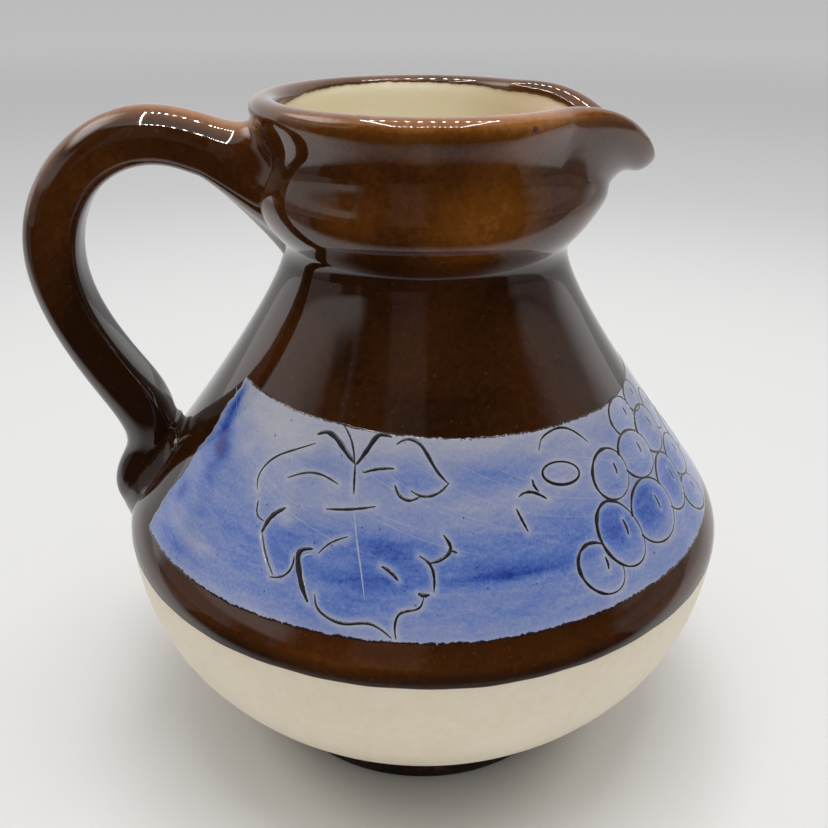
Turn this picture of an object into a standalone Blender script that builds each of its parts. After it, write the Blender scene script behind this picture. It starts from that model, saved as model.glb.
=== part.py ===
"""Glazed pottery creamer: a turned jug with a pulled spout, a looped handle and its glaze coats.

Metres, +Z up. The origin is on the jug's axis at the table; the handle points to -X and the spout to +X.
"""
import math

import bmesh
import bpy
from mathutils import Vector
from mathutils.geometry import interpolate_bezier

# Turned wall, stacked upwards from the table
FOOT_RADIUS = 0.0283
FOOT_HEIGHT = 0.0028        # table to the bowl's lower edge
FOOT_CHAMFER = 0.0004
BOWL_HEIGHT = 0.0380        # bowl's lower edge to the widest ring
BELLY_RADIUS = 0.0502
SHOULDER_HEIGHT = 0.0444    # widest ring to the neck
NECK_RADIUS = 0.0228
COLLAR_HEIGHT = 0.0227      # neck to the crown of the lip
COLLAR_RADIUS = 0.0274
COLLAR_WIDEST = 0.0118      # neck to the collar's widest ring
LIP_RADIUS = 0.0246         # middle of the rolled lip
LIP_THICKNESS = 0.0039
LIP_CROWN = 0.0020          # lip's springing line to its crown

# Runs that a curve keeps its end direction for
BOWL_UPRIGHT = 0.0158
BOWL_SPREAD = 0.0172
BOWL_SPREAD_ANGLE = math.radians(51.0)      # from upright, where the bowl meets the foot
EDGE_DROP = 0.0046          # shoulder's lower end above the widest ring
EDGE_INSET = 0.0028         # and how far inside it
EDGE_RUN = 0.0020
SHOULDER_ANGLE = math.radians(37.0)         # from upright, at the shoulder's lower end
SHOULDER_RUN = 0.0195
NECK_RUN = 0.0058
UNDERCUT_RUN = 0.0060       # collar's lower round, below its widest ring
UNDERCUT_ANGLE = math.radians(56.0)         # from upright, where it meets the neck
UNDERCUT_SPREAD = 0.0036
COLLAR_RUN = 0.0040

# Walls and coats
CLAY_WALL = 0.0030
COAT = 0.0005
CLEARANCE = 0.0003

# Painted edges
CREAM_EDGE_DROP = 0.0020    # brown and cream meet this far below the widest ring
BAND_RISE = 0.0039          # band's lower edge above the widest ring
BAND_WIDTH = 0.0215         # up the axis
STRIP_HALF_WIDTH = 0.0108   # brown strip left behind the handle

# Pulled spout
SPOUT_REACH = 0.0092
SPOUT_DROP = 0.0092
SPOUT_BASE = 0.0029         # above the neck
SPOUT_HALF_ANGLE = math.radians(46.0)
SPOUT_REACH_POWER = 0.8     # how sharply the reach gathers towards the spout's middle
SPOUT_DROP_POWER = 1.9
SPOUT_PINCH = 0.0009        # dent at each side of the spout
DENT_SPREAD = 0.5           # half of its spread, over the spout's half angle
SPOUT_LAG = 0.45            # share of its depth that an inner layer lags behind the skin

# Looped handle, measured out from the collar and up from the neck
ROOT_DEPTH = 0.0094         # flare's end, buried inside the collar's widest ring
ROOT_RISE = 0.0077
ROOT_HALF = 0.0082
WALL_RISE = 0.0116          # flare where it leaves the collar's widest ring
WALL_HALF = 0.0061
FLARE_OUT = 0.0080
FLARE_RISE = 0.0160
FLARE_HALF = 0.0043
ARCH_OUT = 0.0146
ARCH_RISE = 0.0172
ARCH_HALF = 0.0041
BEND_OUT = 0.0249
BEND_RISE = 0.0124
REACH_OUT = 0.0299
REACH_RISE = 0.0011
REACH_HALF = 0.0046
HANDLE_WIDTH_RATIO = 1.15   # width across the loop over thickness in its plane
JOINT_STRAIGHT = 0.0008     # straight length at each end where it meets a lute
TOP_JOINT_STATION = 2       # joints lie half way on from these stations
TAIL_JOINT_STATION = 6

# Leg and lug, measured out from the shoulder and up from the widest ring
LEG_RISE = 0.0227
LEG_OUT = 0.0155
LEG_HALF = 0.0047
TAIL_RISE = 0.0148
TAIL_OUT = 0.0063
TAIL_HALF = 0.0046
WAIST_RISE = 0.0098
WAIST_OUT = 0.0030
WAIST_HALF = 0.0042
LUG_RISE = 0.0036
LUG_OUT = 0.0000
LUG_HALF = 0.0045
LUG_TIP_DROP = 0.0010       # below the widest ring
LUG_TIP_HALF = 0.0016

# Mesh counts
TURN_STEPS = 40
LIP_STEPS = 6
CREAM_LIP_STEPS = 1         # of those, the ones that the cream inside covers
COLLAR_STEPS = 3
UNDERCUT_STEPS = 5
SHOULDER_STEPS = 7
EDGE_STEPS = 3
BOWL_STEPS = 7
HANDLE_BEVEL = 6
STATION_STEPS = 4
WELD = 0.000005             # points closer than this are one
SLOPE_STEP = 0.01           # radians, for the wall's slope round the jug
SHARP_ANGLE = math.radians(40.0)

# Levels worked out from the stack
BELLY_Z = FOOT_HEIGHT + BOWL_HEIGHT
NECK_Z = BELLY_Z + SHOULDER_HEIGHT
RIM_Z = NECK_Z + COLLAR_HEIGHT
SPRING_Z = RIM_Z - LIP_CROWN
CREAM_EDGE_Z = BELLY_Z - CREAM_EDGE_DROP
BAND_LOW_Z = BELLY_Z + BAND_RISE
BAND_TOP_Z = BAND_LOW_Z + BAND_WIDTH
SKIN_DEPTH = COAT + CLEARANCE
LINER_DEPTH = 2 * SKIN_DEPTH + CLAY_WALL

# Color and roughness of each finish
FINISHES = {
    "clay": ((0.62, 0.50, 0.38), 0.8),
    "brown_glaze": ((0.070, 0.022, 0.006), 0.12),
    "foot_glaze": ((0.030, 0.012, 0.006), 0.35),
    "cream_glaze": ((0.72, 0.66, 0.52), 0.3),
    "cobalt_glaze": ((0.22, 0.30, 0.56), 0.2),
}


def clear_scene():
    for item in list(bpy.data.objects):
        bpy.data.objects.remove(item, do_unlink=True)


def new_collection(name):
    group = bpy.data.collections.new(name)
    bpy.context.scene.collection.children.link(group)
    return group


def glaze(name):
    color, roughness = FINISHES[name]
    material = bpy.data.materials.new(name)
    material.use_nodes = True
    shader = material.node_tree.nodes["Principled BSDF"]
    shader.inputs["Base Color"].default_value = (*color, 1.0)
    shader.inputs["Roughness"].default_value = roughness
    shader.inputs["Metallic"].default_value = 0.0
    return material


def along(point, angle, run):
    """A point reached from another by a run at an angle from straight down, outwards positive."""
    return (point[0] + run * math.sin(angle), point[1] - run * math.cos(angle))


def curve_span(start, start_pull, end_pull, end, steps):
    """Points of one Bezier span of (radius, height) pairs, without its last point."""
    knots = [Vector((radius, height, 0.0)) for radius, height in (start, start_pull, end_pull, end)]
    return [(point.x, point.y) for point in interpolate_bezier(*knots, steps + 1)[:-1]]


def skin_line():
    """Outermost line of the jug: over the lip from its inner side, then down the outside to the foot."""
    half = 0.5 * LIP_THICKNESS
    lip = []
    for step in range(LIP_STEPS):
        turn = math.pi * step / LIP_STEPS
        lip.append((LIP_RADIUS - half * math.cos(turn), SPRING_Z + LIP_CROWN * math.sin(turn)))
    spring = (LIP_RADIUS + half, SPRING_Z)
    collar = (COLLAR_RADIUS, NECK_Z + COLLAR_WIDEST)
    neck = (NECK_RADIUS, NECK_Z)
    edge = (BELLY_RADIUS - EDGE_INSET, BELLY_Z + EDGE_DROP)
    belly = (BELLY_RADIUS, BELLY_Z)
    seat = (FOOT_RADIUS + SKIN_DEPTH, FOOT_HEIGHT)
    line = lip
    line += curve_span(spring, along(spring, 0, COLLAR_RUN), along(collar, 0, -COLLAR_RUN), collar,
                       COLLAR_STEPS)
    line += curve_span(collar, along(collar, 0, UNDERCUT_RUN),
                       along(neck, -UNDERCUT_ANGLE, -UNDERCUT_SPREAD), neck, UNDERCUT_STEPS)
    line += curve_span(neck, along(neck, 0, NECK_RUN),
                       along(edge, SHOULDER_ANGLE, -SHOULDER_RUN), edge, SHOULDER_STEPS)
    line += curve_span(edge, along(edge, SHOULDER_ANGLE, EDGE_RUN),
                       along(belly, 0, -EDGE_RUN), belly, EDGE_STEPS)
    line += curve_span(belly, along(belly, 0, BOWL_UPRIGHT),
                       along(seat, -BOWL_SPREAD_ANGLE, -BOWL_SPREAD), seat, BOWL_STEPS)
    return line + [seat]


def inset(line, depth):
    """The line moved into the wall, square to itself, by a depth."""
    moved = []
    for index, (radius, height) in enumerate(line):
        before = line[max(index - 1, 0)]
        after = line[min(index + 1, len(line) - 1)]
        run = Vector((after[0] - before[0], after[1] - before[1])).normalized()
        moved.append((radius + run.y * depth, height - run.x * depth))
    return moved


def level_point(line, height):
    """Radius where a line that falls crosses a height."""
    for (high_r, high_z), (low_r, low_z) in zip(line, line[1:]):
        if high_z >= height >= low_z and high_z > low_z:
            share = (high_z - height) / (high_z - low_z)
            return high_r + share * (low_r - high_r)
    raise ValueError("height is off the line")


def between(line, top, bottom):
    """The stretch of a falling line from one height to another."""
    inner = [point for point in line if bottom < point[1] < top]
    return [(level_point(line, top), top)] + inner + [(level_point(line, bottom), bottom)]


SKIN = skin_line()
OUTSIDE = SKIN[LIP_STEPS:]
COAT_BACK = inset(OUTSIDE, COAT)


def wall_radius(height):
    return level_point(OUTSIDE, height)


def inside_line():
    """Innermost line of the jug: from the lip's inner side down the wall to the edge of the floor."""
    hollow = [point for point in OUTSIDE if point[1] <= NECK_Z + COLLAR_WIDEST]
    return [(LIP_RADIUS - 0.5 * LIP_THICKNESS, SPRING_Z)] + inset(hollow, LINER_DEPTH)


def turned(name, profile, group):
    """A closed profile of (radius, height) pairs, turned about the axis."""
    mesh = bpy.data.meshes.new(name)
    points = [(radius, 0.0, height) for radius, height in profile]
    edges = [(index, (index + 1) % len(points)) for index in range(len(points))]
    mesh.from_pydata(points, edges, [])
    item = bpy.data.objects.new(name, mesh)
    group.objects.link(item)
    screw = item.modifiers.new("turn", "SCREW")
    screw.steps = TURN_STEPS
    screw.render_steps = TURN_STEPS
    screw.use_merge_vertices = True
    screw.merge_threshold = WELD
    return made_mesh(item)


def made_mesh(item):
    """The object with its modifiers or its curve turned into a plain mesh, caps welded."""
    view = bpy.context.evaluated_depsgraph_get()
    mesh = bpy.data.meshes.new_from_object(item.evaluated_get(view))
    shape = bmesh.new()
    shape.from_mesh(mesh)
    bmesh.ops.remove_doubles(shape, verts=shape.verts, dist=WELD)
    loose = [edge for edge in shape.edges if not edge.link_faces]
    bmesh.ops.delete(shape, geom=loose, context="EDGES")
    bmesh.ops.recalc_face_normals(shape, faces=shape.faces)
    shape.to_mesh(mesh)
    shape.free()
    made = bpy.data.objects.new(item.name, mesh)
    made.matrix_world = item.matrix_world
    for group in item.users_collection:
        group.objects.link(made)
    name = item.name
    bpy.data.objects.remove(item, do_unlink=True)
    made.name = name
    return made


def hump(share):
    """Raised cosine: one at nothing, falling to nothing at one either way."""
    return 0.5 + 0.5 * math.cos(math.pi * min(abs(share), 1.0))


def spout_bulge(angle):
    """Shifts of the lip at an angle from +X: outwards, with a shallow dent at each side, and down."""
    turn = abs(angle) / SPOUT_HALF_ANGLE
    pull = hump(turn)
    dent = hump((turn - 1.0) / DENT_SPREAD)
    reach = SPOUT_REACH * pull ** SPOUT_REACH_POWER - SPOUT_PINCH * dent
    return reach, SPOUT_DROP * pull ** SPOUT_DROP_POWER


def pulled(point, angle):
    """A point of the wall drawn out and down into the spout; inner lines lag, so the wall stays thick."""
    radius, height = point
    base = NECK_Z + SPOUT_BASE
    top = SPRING_Z - SPOUT_LAG * (COLLAR_RADIUS - LIP_RADIUS - 0.5 * LIP_THICKNESS)
    level = min(height, SPRING_Z) - SPOUT_LAG * (COLLAR_RADIUS - radius)
    rise = min(max((level - base) / (top - base), 0.0), 1.0)
    lift = rise * rise
    reach, drop = spout_bulge(angle)
    radius += lift * reach
    return Vector((radius * math.cos(angle), radius * math.sin(angle), height - lift * drop))


def ring_under(line, index, depth):
    """One ring of the wall, a depth below its face and square to it, all the way round the jug."""
    before = line[max(index - 1, 0)]
    after = line[min(index + 1, len(line) - 1)]
    ring = []
    for step in range(TURN_STEPS):
        angle = math.tau * (step - TURN_STEPS // 2) / TURN_STEPS
        across = pulled(line[index], angle + SLOPE_STEP) - pulled(line[index], angle - SLOPE_STEP)
        down = pulled(after, angle) - pulled(before, angle)
        ring.append(pulled(line[index], angle) + depth * across.cross(down).normalized())
    return ring


def rings_under(line, depth):
    return [ring_under(line, index, depth) for index in range(len(line))]


def center_ring(height):
    return [Vector((0.0, 0.0, height))] * TURN_STEPS


def lofted(name, rings, group):
    """A closed wall through rings of equal count, the last joined to the first, axis points welded."""
    shape = bmesh.new()
    rows = [[shape.verts.new(point) for point in ring] for ring in rings]
    for upper, lower in zip(rows, rows[1:] + rows[:1]):
        for step in range(TURN_STEPS):
            after = (step + 1) % TURN_STEPS
            shape.faces.new((upper[step], lower[step], lower[after], upper[after]))
    bmesh.ops.remove_doubles(shape, verts=shape.verts, dist=WELD)
    flat = [face for face in shape.faces if face.calc_area() == 0.0]
    bmesh.ops.delete(shape, geom=flat, context="FACES_ONLY")
    loose = [edge for edge in shape.edges if not edge.link_faces]
    bmesh.ops.delete(shape, geom=loose, context="EDGES")
    bmesh.ops.recalc_face_normals(shape, faces=shape.faces)
    bmesh.ops.triangulate(shape, faces=shape.faces, quad_method="SHORT_EDGE")
    mesh = bpy.data.meshes.new(name)
    shape.to_mesh(mesh)
    shape.free()
    item = bpy.data.objects.new(name, mesh)
    group.objects.link(item)
    return item


def cut(item, cutter):
    change = item.modifiers.new(cutter.name, "BOOLEAN")
    change.operation = "DIFFERENCE"
    change.object = cutter
    change.solver = "EXACT"


def set_cutter(item):
    item.hide_render = True
    item.display_type = "WIRE"
    return item


def finish(item, material):
    item.data.materials.clear()
    item.data.materials.append(material)
    item.data.shade_smooth()
    item.data.set_sharp_from_angle(angle=SHARP_ANGLE)
    return item


def make_body(group, material):
    """Clay vessel: over the lip and down the outside to the foot's seat, then back up inside."""
    outer = rings_under(SKIN, SKIN_DEPTH)
    inner = rings_under(inside_line(), -SKIN_DEPTH)
    seat = center_ring(outer[-1][0].z)
    floor = center_ring(inner[-1][0].z)
    return finish(lofted("body", outer + [seat, floor] + inner[:0:-1], group), material)


def lip_edge():
    """Lip from inside the brown coat down to its inner side, with the cream's upper edge a gap below."""
    above = SKIN[CREAM_LIP_STEPS + 1]
    edge = Vector(SKIN[CREAM_LIP_STEPS])
    below = Vector(SKIN[CREAM_LIP_STEPS - 1])
    return [above, tuple(edge + CLEARANCE * (below - edge).normalized())] + SKIN[CREAM_LIP_STEPS - 1:0:-1]


def make_liner(group, material):
    """Cream coat inside, from the brown coat's edge on the lip to the floor."""
    line = lip_edge() + inside_line()
    back = rings_under(line, -COAT)[1:]
    face = rings_under(line, 0.0)[1:]
    floor = [center_ring(back[-1][0].z), center_ring(face[-1][0].z)]
    return finish(lofted("cream_liner", back + floor + face[::-1], group), material)


def coat_profile(top, bottom):
    """Closed section of an outside coat between two heights."""
    return between(OUTSIDE, top, bottom) + between(COAT_BACK, top, bottom)[::-1]


def make_bowl(group, material):
    """Cream coat from under the belly's brown edge to the foot."""
    top = CREAM_EDGE_Z - CLEARANCE
    face = [(wall_radius(top), top)] + [point for point in OUTSIDE if point[1] < top]
    return finish(turned("bowl_glaze", face + inset(face, COAT)[::-1], group), material)


def make_foot(group, material):
    """Flat turned foot that fills the seat under the vessel."""
    top = inset(OUTSIDE, SKIN_DEPTH)[-1][1] - CLEARANCE
    profile = [(0.0, top), (FOOT_RADIUS, top), (FOOT_RADIUS, FOOT_CHAMFER),
               (FOOT_RADIUS - FOOT_CHAMFER, 0.0), (0.0, 0.0)]
    return finish(turned("foot", profile, group), material)


def make_strip(cutters, name, half_width):
    """Block behind the handle, where the band stops and the brown runs through."""
    bpy.ops.mesh.primitive_cube_add(size=1.0)
    strip = bpy.context.active_object
    strip.name = name
    for group in list(strip.users_collection):
        group.objects.unlink(strip)
    cutters.objects.link(strip)
    strip.scale = (BELLY_RADIUS + SKIN_DEPTH, 2 * half_width, 2 * RIM_Z)
    strip.location = (-0.5 * strip.scale.x - SKIN_DEPTH, 0.0, RIM_Z)
    return set_cutter(strip)


def make_band(group, cutters, material):
    """Blue panel round the shoulder, open behind the handle."""
    ring = turned("blue_band", coat_profile(BAND_TOP_Z - CLEARANCE, BAND_LOW_Z + CLEARANCE), group)
    cut(ring, make_strip(cutters, "band_gap", STRIP_HALF_WIDTH + CLEARANCE))
    return finish(ring, material)


def make_window(cutters):
    """Cutter for the band's place in the brown coat."""
    outer = BELLY_RADIUS + SKIN_DEPTH
    inner = NECK_RADIUS - SKIN_DEPTH
    profile = [(outer, BAND_TOP_Z), (outer, BAND_LOW_Z), (inner, BAND_LOW_Z), (inner, BAND_TOP_Z)]
    window = turned("band_window", profile, cutters)
    cut(window, make_strip(cutters, "window_gap", STRIP_HALF_WIDTH))
    return set_cutter(window)


def make_brown(group, material, openings):
    """Brown coat from the lip's inner side to below the belly, open for the band and the handle."""
    line = [point for point in SKIN if point[1] > CREAM_EDGE_Z]
    line.append((wall_radius(CREAM_EDGE_Z), CREAM_EDGE_Z))
    face = rings_under(line, 0.0)[CREAM_LIP_STEPS:]
    back = rings_under(line, COAT)[CREAM_LIP_STEPS:]
    rings = face + back[::-1]
    brown = lofted("brown_glaze", rings, group)
    for opening in openings:
        cut(brown, opening)
    return finish(brown, material)


def handle_stations():
    """Middle line of the handle from inside the collar to the lug's tip: (distance out, height, half)."""
    def from_collar(out, rise, half):
        return (COLLAR_RADIUS + out, NECK_Z + rise, half)

    def from_shoulder(out, rise, half):
        height = BELLY_Z + rise
        return (wall_radius(height) + out, height, half)

    return [
        from_collar(-ROOT_DEPTH, ROOT_RISE, ROOT_HALF),
        from_collar(0.0, WALL_RISE, WALL_HALF),
        from_collar(FLARE_OUT, FLARE_RISE, FLARE_HALF),
        from_collar(ARCH_OUT, ARCH_RISE, ARCH_HALF),
        from_collar(BEND_OUT, BEND_RISE, ARCH_HALF),
        from_collar(REACH_OUT, REACH_RISE, REACH_HALF),
        from_shoulder(LEG_OUT, LEG_RISE, LEG_HALF),
        from_shoulder(TAIL_OUT, TAIL_RISE, TAIL_HALF),
        from_shoulder(WAIST_OUT, WAIST_RISE, WAIST_HALF),
        from_shoulder(LUG_OUT, LUG_RISE, LUG_HALF),
        from_shoulder(-LUG_TIP_HALF - SKIN_DEPTH, -LUG_TIP_DROP, LUG_TIP_HALF),
    ]


def smooth_run(stations):
    """Catmull-Rom samples through the stations, as (x, z, half) vectors."""
    knots = [Vector((-out, height, half)) for out, height, half in stations]
    knots = [2 * knots[0] - knots[1]] + knots + [2 * knots[-1] - knots[-2]]
    run = []
    for a, b, c, d in zip(knots, knots[1:], knots[2:], knots[3:]):
        for step in range(STATION_STEPS):
            t = step / STATION_STEPS
            run.append(0.5 * (2 * b + (c - a) * t + (2 * a - 5 * b + 4 * c - d) * t ** 2
                              + (3 * b - a - 3 * c + d) * t ** 3))
    return run + [knots[-2]]


def tube(name, run, grow, group):
    """Tube along (x, z, half) samples, widened across the loop, its halves grown by a clearance."""
    data = bpy.data.curves.new(name, "CURVE")
    data.dimensions = "3D"
    data.bevel_depth = 1.0
    data.bevel_resolution = HANDLE_BEVEL
    data.use_fill_caps = True
    spline = data.splines.new("POLY")
    spline.points.add(len(run) - 1)
    for point, sample in zip(spline.points, run):
        point.co = (sample.x, 0.0, sample.y, 1.0)
        point.radius = sample.z + grow
    item = bpy.data.objects.new(name, data)
    group.objects.link(item)
    made = made_mesh(item)
    for vertex in made.data.vertices:
        vertex.co.y *= HANDLE_WIDTH_RATIO
    return made


def stretch_between(run, first, last):
    """Part of the run with a short straight at each joint, so that meeting caps lie parallel."""
    part = [sample.copy() for sample in run[first:last + 1]]
    if first > 0:
        way = (run[first + 1] - run[first - 1]).to_2d().normalized()
        part[0] += CLEARANCE * Vector((way.x, way.y, 0.0))
        part.insert(1, part[0] + JOINT_STRAIGHT * Vector((way.x, way.y, 0.0)))
    if last < len(run) - 1:
        way = (run[last + 1] - run[last - 1]).to_2d().normalized()
        part.insert(-1, part[-1] - JOINT_STRAIGHT * Vector((way.x, way.y, 0.0)))
    return part


def make_handle(group, cutters, material):
    """Loop, flared top joint and tail lug, each cut square where it meets the next."""
    run = smooth_run(handle_stations())
    top_joint = TOP_JOINT_STATION * STATION_STEPS + STATION_STEPS // 2
    tail_joint = TAIL_JOINT_STATION * STATION_STEPS + STATION_STEPS // 2
    finish(tube("handle", stretch_between(run, top_joint, tail_joint), 0.0, group), material)
    wall = [(0.0, COAT_BACK[0][1])] + COAT_BACK + [(0.0, COAT_BACK[-1][1])]
    wall_cutter = set_cutter(turned("wall_cutter", wall, cutters))
    openings = []
    ends = {"handle_top_lute": (0, top_joint), "handle_tail_lute": (tail_joint, len(run) - 1)}
    for name, (first, last) in ends.items():
        stretch = stretch_between(run, first, last)
        lute = tube(name, stretch, 0.0, group)
        cut(lute, wall_cutter)
        finish(lute, material)
        openings.append(set_cutter(tube(name + "_opening", stretch, CLEARANCE, cutters)))
    return openings


def main():
    clear_scene()
    group = new_collection("creamer")
    cutters = new_collection("cutters")
    brown = glaze("brown_glaze")
    cream = glaze("cream_glaze")
    make_body(group, glaze("clay"))
    make_liner(group, cream)
    make_bowl(group, cream)
    make_foot(group, glaze("foot_glaze"))
    make_band(group, cutters, glaze("cobalt_glaze"))
    openings = make_handle(group, cutters, brown)
    make_brown(group, brown, [make_window(cutters)] + openings)


main()
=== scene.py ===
# Glazed pottery creamer: brown coat, brushed cobalt panel with a vine, cream bowl and inside
import math

import bpy
import numpy as np
from mathutils import Matrix, Vector


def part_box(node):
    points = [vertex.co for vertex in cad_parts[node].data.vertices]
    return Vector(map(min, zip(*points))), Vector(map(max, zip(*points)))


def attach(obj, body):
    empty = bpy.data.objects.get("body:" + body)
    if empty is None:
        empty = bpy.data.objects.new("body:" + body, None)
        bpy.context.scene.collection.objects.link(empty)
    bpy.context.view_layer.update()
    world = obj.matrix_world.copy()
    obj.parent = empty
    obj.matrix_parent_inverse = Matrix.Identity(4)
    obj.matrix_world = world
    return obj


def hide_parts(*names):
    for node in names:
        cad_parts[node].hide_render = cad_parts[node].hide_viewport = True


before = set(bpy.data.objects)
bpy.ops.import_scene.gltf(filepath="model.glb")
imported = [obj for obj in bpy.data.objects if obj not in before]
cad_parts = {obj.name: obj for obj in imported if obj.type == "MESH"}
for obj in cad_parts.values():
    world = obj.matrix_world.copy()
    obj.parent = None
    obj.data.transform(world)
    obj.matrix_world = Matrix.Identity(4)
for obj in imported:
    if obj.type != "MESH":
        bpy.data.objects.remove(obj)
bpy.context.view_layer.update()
mm = 0.001                      # shapes below are worked out in millimetres
print("frame loaded:", len(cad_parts), "nodes")

coatLow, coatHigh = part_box("brown_glaze")
bandLow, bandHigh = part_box("blue_band")
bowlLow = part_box("bowl_glaze")[0]
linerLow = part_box("cream_liner")[0]
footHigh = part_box("foot")[1]

# Turned wall: pairs are radius and height, runs are how far a curve keeps its end direction
jug = {
    "rim": coatHigh.z / mm,
    "creamEdge": coatLow.z / mm,
    "belly": (coatHigh.y / mm, coatLow.z / mm + 0.9),
    "edge": (coatHigh.y / mm - 2.8, coatLow.z / mm + 6.6),
    "neck": (22.1, 86.2),
    "collar": (26.45, 93.5),
    "cove": (24.3, 100.0),      # waist between the collar and the rolled lip
    "lipRadius": 24.3,
    "lipHalf": 2.25,
    "lipCrown": 2.0,
    "lipFullness": 2.3,         # power of the lip's rounding, 2 for an ellipse
    "inside": 4.0,              # how far down inside the lip the line begins
    "seat": (footHigh.y / mm - 1.6, bowlLow.z / mm),
    "lipRun": 0.7,
    "coveRun": 1.6,
    "collarRun": 2.6,
    "undercutRun": 2.3,
    "undercutAngle": 54.0,
    "undercutSpread": 3.2,
    "neckRun": 7.0,
    "shoulderAngle": 37.0,
    "shoulderRun": 19.5,
    "edgeRun": 2.0,
    "bowlRun": 21.6,
    "bowlAngle": 43.6,
    "bowlSpread": 10.2,
    "softening": 0.28,          # eases the creases, as a fired coat does
    "neckSoftening": 1.5,       # more of it in the neck, where the glaze pools
    "neckReach": 4.0,
    "wall": 4.6,                # outer skin to the inside
    "wobble": 0.07,             # hand-turned unevenness
}
springHeight = jug["rim"] - jug["lipCrown"]
photoSide = math.radians(-96.0)     # the side that the photograph looks at; azimuths are from here
flatRadius = 40.0                   # carries angles to millimetres on the panel's flat map

# Spout drawn out of the collar, about +X
spout = {
    "reach": 8.7,
    "drop": 8.2,
    "halfAngle": math.radians(46.0),
    "reachPower": 0.8,
    "dropPower": 1.9,
    # height on the collar, then its shares of the reach and of the drop
    "rise": ((84.0, 0.0, 0.0), (86.5, 0.0, 0.0), (89.5, 0.02, 0.03), (92.5, 0.09, 0.14), (95.2, 0.23, 0.29),
             (98.4, 0.46, 0.49), (100.7, 0.63, 0.66), (103.1, 0.84, 0.92), (105.9, 1.0, 1.0),
             (110.0, 1.0, 1.0)),
    "pinch": 0.55,
    "dentSpread": 0.5,
    "lag": 0.45,                # share of its depth that an inner layer lags behind the skin
    "coveFill": (1.05, 1.45, 2.8),      # how the cove fades under it: depth, angle, reach up and down
}


def splineThrough(points, count):
    # natural cubic spline through points, stepped evenly along their chords
    points = np.asarray(points, float)
    knots = np.concatenate(([0.0], np.cumsum(np.linalg.norm(np.diff(points[:, :2], axis=0), axis=1))))
    gaps = np.diff(knots)
    size = len(points)
    matrix, target = np.eye(size), np.zeros_like(points)
    inner = np.arange(1, size - 1)
    matrix[inner, inner - 1] = gaps[:-1]
    matrix[inner, inner] = 2 * (gaps[:-1] + gaps[1:])
    matrix[inner, inner + 1] = gaps[1:]
    slopes = np.diff(points, axis=0) / gaps[:, None]
    target[1:-1] = 6 * np.diff(slopes, axis=0)
    bends = np.linalg.solve(matrix, target)
    t = np.linspace(0.0, knots[-1], count)
    k = np.clip(np.searchsorted(knots, t, "right") - 1, 0, size - 2)
    left, right, gap = (t - knots[k])[:, None], (knots[k + 1] - t)[:, None], gaps[k][:, None]
    ends = (bends[k] * right ** 3 + bends[k + 1] * left ** 3) / (6 * gap)
    before = points[k] / gap - bends[k] * gap / 6
    after = points[k + 1] / gap - bends[k + 1] * gap / 6
    return ends + before * right + after * left


def bezier(start, startPull, endPull, end, count=60):
    # cubic Bezier: the four points weighted by (1-t)^3, 3t(1-t)^2, 3t^2(1-t) and t^3
    t = np.linspace(0.0, 1.0, count).reshape((-1,) + (1,) * np.ndim(start))
    start, startPull, endPull, end = (np.asarray(p, float) for p in (start, startPull, endPull, end))
    u = 1 - t
    return u ** 3 * start + 3 * t * u ** 2 * startPull + 3 * t * t * u * endPull + t ** 3 * end


def along(point, degrees, run):
    # a run from a point, at an angle from straight down, outwards positive
    turn = math.radians(degrees)
    return (point[0] + run * math.sin(turn), point[1] - run * math.cos(turn))


def softenedLine(points, softening, spacing=0.05):
    # even steps along a line, then a bell-weighted average of its neighbours at each step
    lengths = np.concatenate(([0.0], np.cumsum(np.hypot(*np.diff(points, axis=0).T))))
    runs = np.arange(0.0, lengths[-1], spacing)
    even = np.column_stack([np.interp(runs, lengths, points[:, k]) for k in (0, 1)])
    reach = int(3 * softening / spacing)
    bell = np.exp(-0.5 * (np.arange(-reach, reach + 1) * spacing / softening) ** 2)
    padded = np.pad(even, ((reach, reach), (0, 0)), mode="reflect", reflect_type="odd")
    return runs, np.column_stack([np.convolve(padded[:, k], bell / bell.sum(), "valid") for k in (0, 1)])


def lipLine(start, end, sink=0.0, count=80):
    # over the lip from its inner side: cosine and sine of the turn, each to the power two over the fullness
    turn = np.linspace(start, end, count)
    power = 2.0 / jug["lipFullness"]
    across = np.sign(np.cos(turn)) * np.abs(np.cos(turn)) ** power
    return np.column_stack((jug["lipRadius"] - (jug["lipHalf"] - sink) * across,
                            springHeight + (jug["lipCrown"] - sink) * np.abs(np.sin(turn)) ** power))


def outerLine():
    # up inside the lip and over it, then Bezier spans down cove, collar, undercut, shoulder, edge and bowl
    spring = (jug["lipRadius"] + jug["lipHalf"], springHeight)
    rise = np.linspace(springHeight - jug["inside"], springHeight, 40, endpoint=False)
    inside = np.column_stack((np.full_like(rise, jug["lipRadius"] - jug["lipHalf"]), rise))
    cove, collar, neck = (jug[k] for k in ("cove", "collar", "neck"))
    edge, belly, seat = (jug[k] for k in ("edge", "belly", "seat"))
    # each span's start with its angle and run, then its end with those
    spans = (
        (spring, 0, jug["lipRun"], cove, 0, jug["coveRun"]),
        (cove, 0, jug["collarRun"], collar, 0, jug["collarRun"]),
        (collar, 0, jug["undercutRun"], neck, -jug["undercutAngle"], jug["undercutSpread"]),
        (neck, 0, jug["neckRun"], edge, jug["shoulderAngle"], jug["shoulderRun"]),
        (edge, jug["shoulderAngle"], jug["edgeRun"], belly, 0, jug["edgeRun"]),
        (belly, 0, jug["bowlRun"], seat, -jug["bowlAngle"], jug["bowlSpread"]),
    )
    lines = [inside, lipLine(0.0, math.pi)]
    for start, startAngle, startRun, end, endAngle, endRun in spans:
        startPull, endPull = along(start, startAngle, startRun), along(end, endAngle, -endRun)
        lines.append(bezier(start, startPull, endPull, end)[1:])
    return np.vstack(lines)


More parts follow.
